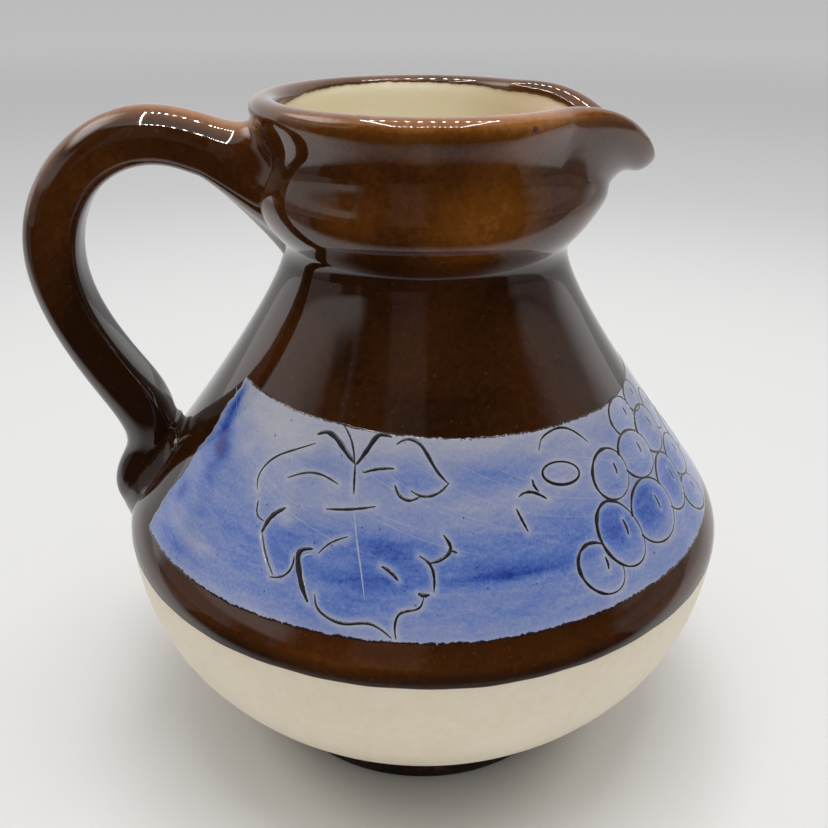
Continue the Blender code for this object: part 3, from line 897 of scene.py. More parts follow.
# Cobalt panel round the shoulder, left open behind the handle
panel = {
    "columns": 520,
    "rows": 92,
    "low": bandLow.z / mm - 0.6,
    "top": bandHigh.z / mm + 0.75,
    "vine": (0.21, 0.22, 2.0),  # finer columns where the vine is: place, reach, weight
    "rowEase": 0.4,             # share of the rows' spacing that is finer at both edges
    "tilt": 1.55,               # its upper edge climbs towards the handle
    "tiltRun": 1.25,            # run along the shoulder for each millimetre climbed
    "gap": 13.0,                # half of the strip left behind the handle
    "gapSpread": 3.0,           # and how much wider that is at its foot
    "lowCorner": 2.4,
    "topCorner": 0.8,
    "lift": 0.07,
    "sink": -0.13,
    "roll": 0.55,               # how far in from its rim the panel reaches its full lift
    "back": -0.22,
    "ragged": 0.03,
    "edgeWave": 0.14,
    "rimWidth": (0.1, 1.3),
    "rimPale": 0.45,
}
# Depth of blue by height, then brushed washes: azimuth, height, reach round, reach up, strength
washHeights = (44.5, 47.0, 49.5, 51.5, 53.5, 56.0, 58.5, 61.0, 63.5, 66.5)
washValues = (0.29, 0.38, 0.40, 0.46, 0.43, 0.34, 0.24, 0.26, 0.22, 0.07)
washes = (
    (-57.8, 65.4, 1.7, 1.7, 0.56), (-57.6, 62.9, 2.7, 1.7, 0.44), (-55.6, 60.4, 2.6, 1.6, 0.46),
    (-53.2, 58.9, 2.9, 1.5, 0.58), (-53.6, 55.8, 2.8, 1.9, 0.32), (-59.2, 51.6, 1.6, 1.4, 0.30),
    (-58.6, 57.9, 2.6, 1.6, 0.20), (-45.5, 57.2, 5.0, 2.6, 0.14), (-49.0, 52.8, 8.0, 2.2, -0.08),
    (-45.5, 60.8, 3.0, 1.4, -0.16), (-58.0, 49.6, 5.0, 1.3, -0.10), (-47.0, 48.2, 8.0, 1.0, -0.20),
    (-36.0, 63.5, 9.0, 2.6, -0.16), (-50.0, 46.4, 10.0, 1.0, 0.14), (-36.0, 49.4, 10.0, 1.6, 0.10),
    (-7.0, 54.2, 7.5, 1.4, 0.34), (-9.0, 50.6, 8.0, 1.2, 0.22), (-27.0, 52.2, 4.5, 1.8, 0.08),
    (-28.2, 55.3, 2.2, 1.2, -0.24), (14.0, 50.9, 11.0, 0.45, 0.30), (16.0, 51.2, 10.0, 1.1, 0.10),
    (24.0, 55.2, 9.0, 2.0, 0.10), (16.0, 61.6, 10.0, 1.4, 0.16), (-24.0, 61.6, 5.0, 1.3, 0.15),
    (-3.0, 62.0, 5.0, 1.8, 0.14), (-14.0, 47.8, 9.0, 1.4, 0.10), (52.0, 47.0, 12.0, 2.0, -0.08),
    (70.0, 62.0, 12.0, 3.0, -0.06), (120.0, 52.5, 22.0, 2.2, 0.24), (150.0, 60.0, 16.0, 2.6, 0.16),
    (190.0, 51.5, 20.0, 1.6, 0.26), (208.0, 58.5, 10.0, 4.0, 0.22), (176.0, 63.0, 14.0, 1.6, -0.10),
)
# Grapes: azimuth and height of the middle, half widths round and up, lean, depth of fill, line width
grapes = (
    (34.0, 49.0, 4.6, 3.0, -1.0, 0.10, 0.50), (41.5, 51.5, 5.4, 4.0, -0.8, 0.27, 0.54),
    (53.5, 51.5, 7.4, 3.8, 0.2, 0.28, 0.46), (46.0, 58.0, 5.9, 3.0, 0.4, 0.18, 0.48),
    (58.0, 58.0, 7.0, 3.1, -0.8, 0.16, 0.46), (65.5, 52.0, 6.2, 3.5, 1.0, 0.28, 0.48),
    (61.0, 62.6, 6.5, 2.6, -0.3, 0.14, 0.44), (71.0, 58.4, 7.8, 3.2, -0.5, 0.20, 0.48),
    (77.5, 52.2, 7.0, 2.9, -1.0, 0.22, 0.46), (73.0, 47.6, 5.2, 2.7, -1.5, 0.12, 0.44),
    (82.5, 58.4, 6.6, 2.9, 0.0, 0.20, 0.42), (73.0, 63.0, 6.0, 2.0, 0.0, 0.14, 0.42),
    (90.5, 52.6, 6.6, 3.0, 0.0, 0.22, 0.40),
)
# Which grapes lie in front of which
grapeFront = {0: (1,), 2: (1,), 4: (3,), 5: (2,), 6: (4,), 7: (4, 6), 8: (5,), 9: (2, 5), 10: (7,), 11: (6,),
              12: (8,)}
# A grape's fill: its shift round and up, its soft edge, and what is taken off every fill
grapeShade = {"shift": (0.12, 0.2), "edge": (0.45, 0.95), "ground": 0.10}


def panelDepth(azimuth, height):
    # depth of blue: a value by height, plus bell-shaped washes, plus a rounded fill in each grape
    depth = np.interp(height, washHeights, washValues)
    for place, level, reachRound, reachUp, strength in washes:
        away = (azimuth - place + 180.0) % 360.0 - 180.0
        depth = depth + strength * np.exp(-(away / reachRound) ** 2 - ((height - level) / reachUp) ** 2)
    aside, above = grapeShade["shift"]
    for place, level, halfRound, halfUp, lean, fill, *_ in grapes:
        up = (height - level) / halfUp
        far = np.hypot((azimuth - place - lean * up) / halfRound + aside, up - above)
        depth = depth + (fill - grapeShade["ground"]) * (1 - smoothStep(*grapeShade["edge"], far))
    return np.clip(depth, 0.0, 1.0)


def cornerInset(away, size):
    # how far a round corner of a size draws in, by the distance from the edge that it turns into
    short = np.clip(size - away, 0.0, size)
    return size - np.sqrt(size ** 2 - short ** 2)


def buildPanel():
    # rows down the shoulder and columns between the two ends; both sheets share a rim sunk in the brown
    s = panel
    share = np.linspace(0.0, 1.0, s["rows"])
    ease = s["rowEase"]
    share = ((1 - ease) * share + ease * (0.5 - 0.5 * np.cos(np.pi * share)))[:, None]
    across = spreadRows(0.0, 1.0, s["columns"], (s["vine"],))[None, :]
    topRun, lowRun = float(runAt(s["top"])), float(runAt(s["low"]))
    midRun = topRun + share * (lowRun - topRun)
    toTop, toLow = midRun - topRun, lowRun - midRun
    gap = s["gap"] + s["gapSpread"] * share
    gap = gap + cornerInset(toLow, s["lowCorner"]) + cornerInset(toTop, s["topCorner"])
    gap = gap + 0.35 * np.sin(midRun * 0.8) + 0.12 * np.sin(midRun * 3.1 + 1.0)
    half = math.pi - gap / radiusAt(midRun)
    angle = (2 * across - 1) * half
    climb = -s["tilt"] * np.cos(angle) * (1 - share)
    ragged = np.sin(angle * 61.0) + np.sin(angle * 97.0 + 1.0) + 0.8 * np.sin(angle * 173.0 + 2.0)
    run = midRun - climb * s["tiltRun"] + s["ragged"] * ragged * (2 * share - 1)
    run = run + unevenEdge(angle, s["edgeWave"])
    toRim = np.minimum(np.minimum(toTop, toLow), np.minimum(across, 1 - across) * 2 * half * radiusAt(run))
    full = np.sqrt(np.clip(1 - (1 - np.clip(toRim / s["roll"], 0.0, 1.0)) ** 2, 0.0, 1.0))
    frontSheet = skin(run, angle, s["sink"] + (s["lift"] - s["sink"]) * full)
    backSheet = skin(run, angle, s["back"])
    height = heightAt(run)
    rim = 1 - smoothStep(*s["rimWidth"], toRim)
    depth = panelDepth(np.degrees(angle - photoSide), height) * (1 - s["rimPale"] * rim)
    depth = depth * (1 - strokeShape["haloDepth"] * nearLines(frontSheet))
    flat = np.stack((angle * flatRadius, height), -1).reshape(-1, 2)
    corners, faces = pillowParts(frontSheet, backSheet)
    values = {"cobalt": depth, "rim": rim}
    piece = makePiece("cobaltPanel", corners, faces, cobaltGlaze, "cobalt_glaze", values, flat)
    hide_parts("blue_band")


# Brush strokes: width in mm, then azimuth and height of the points that the brush goes through
leafStrokes = (
    (0.34, (-20.4, 67.2), (-17.8, 65.8), (-15.5, 62.8)),
    (0.80, (-26.6, 65.4), (-24.4, 65.9), (-21.2, 65.4), (-17.9, 64.0), (-15.5, 63.0)),
    (0.74, (-7.6, 66.4), (-10.8, 66.5), (-12.7, 65.2), (-15.2, 62.9)),
    (0.34, (-15.5, 63.0), (-15.0, 61.0), (-14.6, 59.6)),
    (0.32, (-26.3, 64.4), (-31.7, 62.9), (-36.9, 60.8), (-38.3, 58.6), (-37.1, 57.1)),
    (0.30, (-35.9, 56.2), (-34.4, 54.5), (-32.7, 54.3)),
    (0.74, (-28.8, 56.5), (-31.4, 55.0), (-32.3, 53.0)),
    (0.30, (-32.1, 53.0), (-30.2, 51.3), (-27.0, 49.1)),
    (0.34, (-27.6, 48.8), (-25.0, 49.4), (-23.8, 50.8), (-24.0, 51.8)),
    (0.86, (-20.6, 53.0), (-23.1, 52.4), (-22.6, 50.8), (-21.1, 49.0), (-19.3, 47.4)),
    (0.28, (-19.5, 52.6), (-17.7, 53.9), (-14.3, 55.0)),
    (0.42, (-18.4, 48.4), (-17.6, 47.2), (-15.4, 46.3), (-11.8, 46.0), (-8.5, 46.3), (-6.1, 45.7),
     (-4.6, 45.0)),
    (0.36, (-3.9, 44.9), (-4.2, 46.5), (-3.4, 47.6), (-0.4, 48.2), (0.4, 49.4)),
    (0.60, (-0.6, 49.7), (0.4, 49.5), (1.4, 49.6)),
    (0.40, (2.1, 49.8), (2.2, 51.3), (1.2, 52.9), (-0.5, 53.6)),
    (0.52, (1.0, 52.8), (3.5, 53.2), (5.3, 54.2), (4.1, 55.8)),
    (0.34, (5.0, 54.3), (6.6, 53.8)),
    (0.50, (-6.4, 65.6), (-4.3, 66.2), (-1.2, 65.9), (1.2, 64.4), (3.8, 62.3), (5.6, 61.3)),
    (0.40, (5.8, 61.4), (3.2, 60.3), (-0.2, 60.0), (-2.6, 60.6)),
    (0.46, (-0.6, 59.9), (-2.9, 59.5), (-4.9, 60.0), (-6.0, 61.1)),
    (0.34, (-30.8, 59.7), (-27.0, 60.8), (-23.0, 61.1), (-18.4, 60.4)),
    (0.44, (-13.4, 62.1), (-10.1, 62.7), (-6.4, 62.9)),
    (0.40, (-20.0, 57.5), (-14.3, 58.0), (-9.6, 58.6)),
    (0.50, (-7.3, 52.3), (-5.6, 51.8), (-4.1, 50.9)),
)
vineStrokes = (
    (0.46, (20.6, 59.0), (21.8, 59.3), (23.9, 59.2), (25.3, 58.8), (26.9, 58.1)),
    (0.42, (24.7, 60.6), (24.7, 59.9), (25.5, 59.1)),
    (0.40, (19.5, 57.8), (20.2, 56.5), (21.0, 55.1)),
    (0.36, (28.2, 63.5), (29.6, 64.6), (32.9, 65.3), (36.8, 65.3), (40.5, 64.2), (43.2, 62.5)),
)
tendril = (32.3, 60.4, 4.6, 1.4, -1.4, 0.38)        # middle, half widths, lean, line width
paleStrokes = (
    (0.34, (-15.2, 60.6), (-14.2, 58.3), (-12.3, 54.4), (-10.2, 50.1), (-9.6, 48.6)),
    (0.42, (-33.0, 54.6), (-32.7, 53.0), (-30.8, 51.2), (-27.9, 49.0)),
    (0.36, (-28.4, 56.0), (-30.8, 54.8), (-31.7, 53.0)),
    (0.40, (-20.3, 52.5), (-22.3, 51.8), (-21.9, 50.6), (-20.4, 48.8), (-18.8, 47.3)),
    (0.30, (-24.6, 51.6), (-24.4, 50.2), (-25.6, 49.0)),
)
crazing = {
    "count": 11,
    "width": 0.13,
    "start": -62.0,
    "spacing": 9.5,
    "length": 44.0,
    "top": 66.0,
    "stagger": 3.2,             # how much lower some of them begin
    "fall": 11.0,
    "bottom": 46.0,
    "turns": 6,                 # points that each goes through
    "steps": 80,
}
strokeShape = {
    "inkLift": 0.105,
    "haloLift": 0.088,
    "crazeLift": 0.082,
    "sunk": 0.05,               # underside, below the skin
    "steps": 72,
    "grapeSteps": 120,
    "tendrilSteps": 96,
    "seedSteps": 24,
    # a grape's seed: points as shares of its half widths, and its width as a share of the outline's
    "seed": ((0.34, 0.32), (0.36, 0.1), (0.30, -0.14)),
    "seedWidth": 0.9,
    "haloReach": 0.62,          # how far from a line the blue is pushed aside
    "haloDepth": 0.72,
    "heavier": 1.28,            # ink lines against the widths listed above
}


def strokePath(points, count):
    # runs and angles of a spline through azimuth and height pairs
    azimuth, height = np.transpose(points)
    around = (azimuth + math.degrees(photoSide)) * math.pi / 180.0 * flatRadius
    path = splineThrough(np.column_stack((around, runAt(height))), count)
    return path[:, 1], path[:, 0] / flatRadius


def bead(run, angle, width, lift, closed=False):
    # a low rounded ridge carried along a path on the skin, its ring a dome over a flat underside
    points = skin(run, angle)
    normal = skinNormal(run, angle)
    ahead = np.roll(points, -1, 0) - np.roll(points, 1, 0) if closed else np.gradient(points, axis=0)
    side = unit(np.cross(normal, unit(ahead)))
    # the ring's points: places across, shares of the lift, and how often the sunk depth lies under them
    across = np.array((-1.0, -0.72, 0.0, 0.72, 1.0, 0.0))
    lifted = np.array((0.0, 0.82, 1.0, 0.82, 0.0, 0.0))
    lowered = strokeShape["sunk"] * np.array((1, 0, 0, 0, 1, 2))
    rise = np.broadcast_to(lift, run.shape)[:, None] * lifted - lowered
    spread = 0.5 * np.broadcast_to(width, run.shape)[:, None] * across
    rings = points[:, None] + spread[..., None] * side[:, None] + rise[..., None] * normal[:, None]
    return ringParts(rings) if closed else tubeParts(rings, (rings[0].mean(0), rings[-1].mean(0)))


def joined(parts):
    # several shapes as one list of vertices and faces
    corners, faces, count = [], [], 0
    for points, polygons in parts:
        corners.append(points)
        faces += [[index + count for index in polygon] for polygon in polygons]
        count += len(points)
    return np.vstack(corners), faces


def brushWidth(width, count, ends=0.22):
    # a stroke's width swells from its ends, with a small hand tremor
    t = np.linspace(0.0, 1.0, count)
    return width * (ends + (1 - ends) * np.sin(np.pi * t) ** 0.55) * (1 + 0.10 * np.sin(23 * t + 40 * width))


def ovalPath(place, level, halfRound, halfUp, lean, count):
    # a closed oval about a middle, on azimuth and height, leaning as it rises
    t = np.linspace(0.0, math.tau, count, endpoint=False)
    azimuth = place + halfRound * np.cos(t) + lean * np.sin(t)
    return runAt(level + halfUp * np.sin(t)), np.radians(azimuth) + photoSide, t


def grapeShown(index, run, angle):
    # one along an outline, falling to minus one where a grape in front covers it
    height = heightAt(run)
    azimuth = np.degrees(angle - photoSide)
    shown = np.ones_like(run)
    for place, level, halfRound, halfUp, lean, *_ in [grapes[k] for k in grapeFront.get(index, ())]:
        up = (height - level) / halfUp
        far = np.hypot((azimuth - place - lean * up) / halfRound, up)
        shown = np.minimum(shown, 2 * smoothStep(0.86, 0.98, far) - 1)
    return shown


def openLine(points, width, steps, ends=0.22):
    # a stroke that shows all along: runs and angles, its width, ones, and that it doesn't close
    return (*strokePath(points, steps), brushWidth(width, steps, ends), np.ones(steps), False)


def vineLines():
    # each black line: runs and angles along it, its width, one where it shows, and if it closes on itself
    s = strokeShape
    lines = [openLine(points, width, s["steps"]) for width, *points in leafStrokes + vineStrokes]
    for index, (*oval, _, width) in enumerate(grapes):
        place, level, halfRound, halfUp, _ = oval
        run, angle, t = ovalPath(*oval, s["grapeSteps"])
        hand = 1 + 0.18 * np.sin(5 * t + 2 * index) + 0.12 * np.sin(11 * t + index)
        heavy = width * (0.74 + 0.44 * np.cos(t - 2.6)) * hand      # heavier on the upper left
        lines.append((run, angle, heavy, grapeShown(index, run, angle), True))
        seed = [(place + aside * halfRound, level + up * halfUp) for aside, up in s["seed"]]
        lines.append(openLine(seed, s["seedWidth"] * width, s["seedSteps"], 0.35))
    *oval, width = tendril
    run, angle, t = ovalPath(*oval, s["tendrilSteps"])
    lines.append((run, angle, width * (1 + 0.25 * np.cos(t - 4.0)), np.ones_like(t), True))
    return lines


def nearLines(points):
    # a bell of the distance from each point to the nearest line of the vine, row by row
    marks = np.vstack([skin(run, angle)[shown > 0] for run, angle, _, shown, _ in vineLines()])
    level = (marks ** 2).sum(-1)
    near = np.array([((row ** 2).sum(-1)[:, None] + level - 2 * row @ marks.T).min(-1) for row in points])
    return np.exp(-np.maximum(near, 0.0) / strokeShape["haloReach"] ** 2)


def buildStrokes():
    # black lines, and the few pale ones where the brush pushed the blue aside
    s = strokeShape
    ink = [bead(run, angle, s["heavier"] * width, s["inkLift"] * shown, closed)
           for run, angle, width, shown, closed in vineLines()]
    pale = [bead(*strokePath(points, s["steps"]), brushWidth(width, s["steps"]), s["haloLift"])
            for width, *points in paleStrokes]
    makePiece("inkLines", *joined(ink), blackInk, "cobalt_glaze")
    makePiece("paleHalos", *joined(pale), resistHalo, "cobalt_glaze")


def buildCrazing():
    # fine pale hairlines that slant down round the panel, one after another
    s = crazing
    share = np.arange(s["turns"]) / (s["turns"] - 1)
    parts = []
    for index in range(s["count"]):
        level = s["top"] - s["stagger"] * math.sin(1.7 * index) ** 2
        drop = s["fall"] * share * (1.25 - 0.35 * share) + 0.35 * np.sin(3.0 * share + index)
        azimuth = s["start"] + s["spacing"] * index + s["length"] * share
        points = np.column_stack((azimuth, np.maximum(level - drop, s["bottom"])))
        width = brushWidth(s["width"], s["steps"], 0.1)
        parts.append(bead(*strokePath(points, s["steps"]), width, strokeShape["crazeLift"]))
    makePiece("crazeLines", *joined(parts), resistHalo, "cobalt_glaze")


# Pulled handle: x, height, half thickness in the loop's plane and half width across it, from collar to lug
handle = {
    "stations": ((-33.2, 100.5, 4.4, 5.1), (-37.5, 101.8, 4.25, 4.9), (-43.0, 102.1, 4.3, 4.9),
                 (-52.2, 97.4, 4.25, 4.9), (-57.5, 86.3, 4.3, 5.1), (-50.2, 63.4, 4.35, 5.2),
                 (-46.4, 55.6, 4.4, 5.0), (-46.4, 50.4, 4.1, 4.3), (-48.5, 42.8, 4.5, 3.9),
                 (-48.6, 37.6, 2.0, 1.9)),
    "columns": 72,
    "rows": 200,
    "flareRows": 52,
    "wallHeight": 97.0,
    "spreadUp": 8.6,
    "spreadDown": 13.2,
    "spreadSide": 9.6,
    "sunk": -0.25,
    "knee": (0.50, 0.15),       # above and below: how near the tube's foot the flare turns up from the wall
    "throat": (0.48, 0.25),     # and how far it keeps the tube's direction
    "innerFullness": 3.2,       # power of the section's rounding towards the jug, 2 for an ellipse
    "skirt": 2.6,               # how far the tail spreads along the wall
    "skirtRise": 3.2,           # and from how far off it
    "skirtTop": 72.0,           # only below this height
    "deepest": -0.35,           # how far under the skin the tail may lie
    "rootInset": 0.4,           # how far into the wall the root's pole lies
    "tipReach": 0.6,            # the tail's pole stands out by this share of its thickness
    "thin": 0.31,               # how thin its glaze is
    "thinOutsideAndPaintedHighlight": (0.52, 0.50, 1.0),       # how much more along its back, partly thinner glaze and partly a painted highlight: by, from, to
    "thinUpper": (0.45, 0.7),               # that fades between these shares of its length
    "thickTail": (0.34, 0.42, 0.66),        # and how much less towards the tail: by, from, to
}


def handleRings():
    # ellipses square to a spline through the stations; the flare runs from the collar's skin to the first one
    s = handle
    path = splineThrough(s["stations"], s["rows"])
    center = np.column_stack((path[:, 0], np.zeros(len(path)), path[:, 1]))
    forward = unit(np.gradient(center, axis=0))
    out = np.column_stack((forward[:, 2], np.zeros(len(path)), -forward[:, 0]))
    side = np.cross(out, forward)
    turn = np.linspace(0.0, math.tau, s["columns"], endpoint=False)
    lump = 1 + 0.012 * np.sin(np.linspace(0, 21, len(path)))[:, None]
    lump = lump + 0.010 * np.sin(3 * turn + 1.0)[None, :]
    power = np.where(np.cos(turn) < 0, 2.0 / s["innerFullness"], 1.0)
    outShare, sideShare = (np.sign(f(turn)) * np.abs(f(turn)) ** power for f in (np.cos, np.sin))
    loop = center[:, None] + (path[:, 2:3] * lump * outShare)[..., None] * out[:, None] \
        + (path[:, 3:4] * lump * sideShare)[..., None] * side[:, None]
    loop = skirted(loop, center)
    wide = 1 + 0.05 * np.sin(2 * turn + 0.6) + 0.04 * np.sin(3 * turn - 0.4)
    spread = np.where(np.cos(turn) > 0, s["spreadUp"], s["spreadDown"])
    radius = radiusAt(runAt(s["wallHeight"]))
    thick, across = s["stations"][0][2:]
    def onWall(upward, sideward, depth):
        # a point of the collar's skin, up and sideways from the handle's root
        return skin(runAt(s["wallHeight"] + upward), math.pi + sideward / radius, depth)
    rimUp, rimSide = spread * wide * np.cos(turn), s["spreadSide"] * wide * np.sin(turn)
    nearUp, nearSide = thick * 1.1 * np.cos(turn), across * np.sin(turn)
    rim = onWall(rimUp, rimSide, s["sunk"])
    above = 0.5 + 0.5 * np.cos(turn)
    foot, throat = (pair[1] + (pair[0] - pair[1]) * above for pair in (s["knee"], s["throat"]))
    knee = onWall(foot * nearUp + (1 - foot) * rimUp, foot * nearSide + (1 - foot) * rimSide, 0.2)
    reach = np.linalg.norm(loop[0] - onWall(nearUp, nearSide, 0.0), axis=-1, keepdims=True)
    flare = bezier(rim, knee, loop[0] - throat[:, None] * reach * forward[0], loop[0], s["flareRows"])
    root = rim.mean(0) + np.array((s["rootInset"], 0, 0))
    tip = center[-1] + s["tipReach"] * path[-1, 2] * forward[-1]
    return np.vstack((flare[:-1], loop)), (root, tip), turn


def skirted(loop, center):
    # low on the tail, points near the wall keep their depth and spread along it by their nearness cubed
    s = handle
    low = loop[:, :1, 2] < s["skirtTop"]
    run, angle = runAt(loop[..., 2]), np.arctan2(loop[..., 1], loop[..., 0])
    normal = skinNormal(run, angle)
    depth = ((loop - skin(run, angle)) * normal).sum(-1)
    outward = loop - center[:, None]
    outward = unit(outward - (outward * normal).sum(-1, keepdims=True) * normal)
    near = np.clip(1 - depth / s["skirtRise"], 0.0, 1.15) ** 3
    moved = loop + (s["skirt"] * near)[..., None] * outward
    run, angle = runAt(moved[..., 2]), np.arctan2(moved[..., 1], moved[..., 0])
    laid = skin(run, angle, np.maximum(depth, s["deepest"]))
    share = np.clip(near * 4.0, 0.0, 1.0)[..., None] * low[..., None]
    return loop + share * (laid - loop)


def buildHandle():
    # the rings closed at root and tip; its glaze is thinner along the back of the loop, partly as a painted
    # highlight, thicker at the tail
    s = handle
    points, poles, turn = handleRings()
    down = np.linspace(0.0, 1.0, len(points))[:, None]
    more, *backLimits = s["thinOutsideAndPaintedHighlight"]
    less, *tailLimits = s["thickTail"]
    # partly painted highlight: the upper back of the loop is lighter amber
    back = smoothStep(*backLimits, np.cos(turn)[None, :]) * (1 - smoothStep(*s["thinUpper"], down))
    thin = s["thin"] + more * back + 0.10 * np.sin(9 * down + 2 * turn[None, :])
    thin = np.clip(thin - less * smoothStep(*tailLimits, down), 0.02, 1.0)
    piece = makePiece("pulledHandle", *tubeParts(points, poles), treacleGlaze, "brown_glaze", {"thin": thin})
    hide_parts("handle", "handle_top_lute", "handle_tail_lute")


buildBrownCoat()
buildCreamBowl()
buildCreamLiner()
buildClayBody()
buildFoot()
buildPanel()
buildStrokes()
buildCrazing()
buildHandle()
print("pieces built")


# Floor: a pale disc with a painted shadow at the foot and a painted lit ring round it, painted shade darker
# farther out, then pale again
floorLook = {
    "radius": 4.0,
    "near": (0.715, 0.711, 0.706),
    "mid": (0.605, 0.605, 0.61),
    "far": (0.745, 0.745, 0.75),
    "reaches": (0.20, 0.46, 0.70, 1.6),     # near to mid, then mid to far; the darker mid is painted shade
    # painted shadow at the foot, a painted lit ring round it: from, to, and the floor's share of its color at
    # each
    "paintedShadowAndLitRing": ((0.030, 0.046, 0.70, 1.12), (0.046, 0.070, 1.0, 0.893)),
    "paintedShadowStretch": (1.35, 1.0, 1.0),     # these reach less far along x
    "gloom": (0.016, 0.013, 0.011),     # what the glaze mirrors beyond the floor's front edge
    "aside": (0.20, 0.19, 0.19),        # and to either side of that
    "edge": (0.060, 0.106),             # how far ahead of the jug the edge is
    "bow": 0.30,                        # and how much nearer it comes to either side
    "sides": (-77.0, 66.0),
    "sideFade": 2.0,
    "roughness": 0.9,
    "specular": 0.0,
}


def floorMaterial():
    # color by the distance from the jug, with a painted shadow at the foot, a painted lit ring round it and
    # painted shade farther out; the gloss alone sees a dim front edge
    s = floorLook
    material, tree, shader, place = newMaterial("paperFloor", s)
    away = lengthOf(tree, place)
    nearEnd, midStart, midEnd, farStart = s["reaches"]
    # painted shade: darker from near to mid, then pale again far out
    color = blendColors(tree, span(tree, away, nearEnd, midStart), s["near"], s["mid"])
    color = blendColors(tree, span(tree, away, midEnd, farStart), color, s["far"])
    # painted shadow at the foot and a painted lit ring round it
    close = lengthOf(tree, stretched(tree, place, s["paintedShadowStretch"]))
    for limits in s["paintedShadowAndLitRing"]:
        share = span(tree, close, *limits)
        color = addNode(tree, "VectorMath", {0: color, "Scale": share}, operation="SCALE").outputs[0]
    x, y, _ = addNode(tree, "SeparateXYZ", {0: place}).outputs
    cosine, sine = math.cos(photoSide), math.sin(photoSide)
    ahead = sums(tree, "ADD", sums(tree, "MULTIPLY", x, cosine), sums(tree, "MULTIPLY", y, sine))
    sideways = sums(tree, "SUBTRACT", sums(tree, "MULTIPLY", y, cosine), sums(tree, "MULTIPLY", x, sine))
    swing = sums(tree, "DEGREES", sums(tree, "ARCTAN2", sideways, ahead))
    inFront = between(tree, swing, *s["sides"], s["sideFade"], s["sideFade"])
    beyond = blendColors(tree, inFront, s["aside"], s["gloom"])
    edged = sums(tree, "MULTIPLY_ADD", sums(tree, "ABSOLUTE", sideways), s["bow"], ahead)
    glossy = addNode(tree, "LightPath").outputs["Is Glossy Ray"]
    mirrored = sums(tree, "MULTIPLY", span(tree, edged, *s["edge"]), glossy)
    feed(tree, shader.inputs["Base Color"], blendColors(tree, mirrored, color, beyond))
    return material


def buildFloor():
    # rings that widen from the middle, closed by a fan
    radii = np.concatenate(([0.02], np.geomspace(0.05, floorLook["radius"], 24)))[:, None] / mm
    points = turnedPoints(radii, columnAngles(128), 0 * radii)
    rows, cols = points.shape[:2]
    corners = np.vstack((points.reshape(-1, 3), np.zeros((1, 3))))
    j = np.arange(cols)
    middle = np.stack((np.full(cols, rows * cols), j, (j + 1) % cols), -1)
    faces = gridFaces(rows, cols, wrapCols=True).tolist() + middle.tolist()
    mesh = bpy.data.meshes.new("floor")
    mesh.from_pydata((corners * mm).tolist(), [], faces)
    mesh.materials.append(floorMaterial())
    placed("floor", mesh)


# Light: an even white room, a soft panel overhead, and a frame of small lamps that only the gloss sees
studio = {
    "room": 0.88,
    "lowDiffuse": 0.26,         # how bright the room is low down, against that
    "roomLift": (28.0, 40.0),   # low to high, in degrees above the floor
    "shown": 0.465,             # what the camera sees past the floor
    "panelWatts": 3.1,
    "panelSize": 0.42,
    "panelPlace": (0.012, -0.01, 0.75),
    "walls": (0.85, 0.85, 0.86),
    "ceiling": (0.66, 0.66, 0.66),
    "ceilingLift": (40.0, 62.0),
    # what the gloss sees in the open front: left, right, low and high in degrees, softness, color
    "front": (
        (70.0, 112.0, -90.0, 50.0, 14.0, (0.05, 0.048, 0.046)),
        (-52.0, 84.0, -90.0, 50.0, 4.0, (0.012, 0.010, 0.009)),
        (-106.0, -50.0, -90.0, 36.0, 4.0, (0.24, 0.23, 0.23)),
        (-66.0, -50.0, -90.0, 50.0, 4.0, (0.03, 0.026, 0.024)),
        (-24.0, 2.0, 2.0, 44.0, 3.0, (0.10, 0.09, 0.085)),
        (68.0, 106.0, -90.0, 12.0, 4.0, (0.22, 0.21, 0.21)),
        (-110.0, -47.0, 13.0, 27.0, 6.0, (0.58, 0.56, 0.55)),
        (74.0, 112.0, 13.0, 27.0, 6.0, (0.30, 0.28, 0.265)),
        (-128.0, -76.0, 35.0, 58.0, 12.0, (3.4, 3.3, 3.2)),
    ),
}
lampFrame = {"center": (0.0, -0.080, 0.35), "wide": 0.19, "deep": 0.25, "wideCount": 13, "deepCount": 11,
             "radius": 0.0026, "length": 0.0085, "sides": 8, "color": (1.0, 0.98, 0.94), "strength": 95.0,
             "turn": -6.0}


def buildLampFrame():
    # small eight-sided ovals along a rectangle's four sides, facing down
    s = lampFrame
    wide = np.linspace(-0.5, 0.5, s["wideCount"]) * s["wide"]
    deep = np.linspace(-0.5, 0.5, s["deepCount"])[1:-1] * s["deep"]
    sides = [np.column_stack((wide, np.full(len(wide), k * s["deep"]))) for k in (-0.5, 0.5)]
    sides += [np.column_stack((np.full(len(deep), k * s["wide"]), deep)) for k in (-0.5, 0.5)]
    swing = math.radians(s["turn"])
    turned = np.array(((math.cos(swing), math.sin(swing)), (-math.sin(swing), math.cos(swing))))
    places = np.vstack(sides) @ turned
    turn = np.linspace(0, math.tau, s["sides"], endpoint=False)
    ring = np.column_stack((s["radius"] * np.cos(turn), -s["length"] * np.sin(turn), 0 * turn))
    spots = np.column_stack((places, np.zeros(len(places)))) + np.array(s["center"])
    corners = (spots[:, None] + ring[None]).reshape(-1, 3)
    faces = np.arange(len(corners)).reshape(-1, s["sides"])
    mesh = bpy.data.meshes.new("lampFrame")
    mesh.from_pydata(corners.tolist(), [], faces.tolist())
    material = bpy.data.materials.new("lampSpots")
    material.use_nodes = True
    tree = material.node_tree
    tree.nodes.remove(tree.nodes["Principled BSDF"])
    glow = addNode(tree, "Emission", {"Color": s["color"], "Strength": s["strength"]})
    tree.links.new(glow.outputs[0], tree.nodes["Material Output"].inputs[0])
    mesh.materials.append(material)
    lamps = placed("lampFrame", mesh)
    lamps.visible_camera = lamps.visible_diffuse = lamps.visible_shadow = False


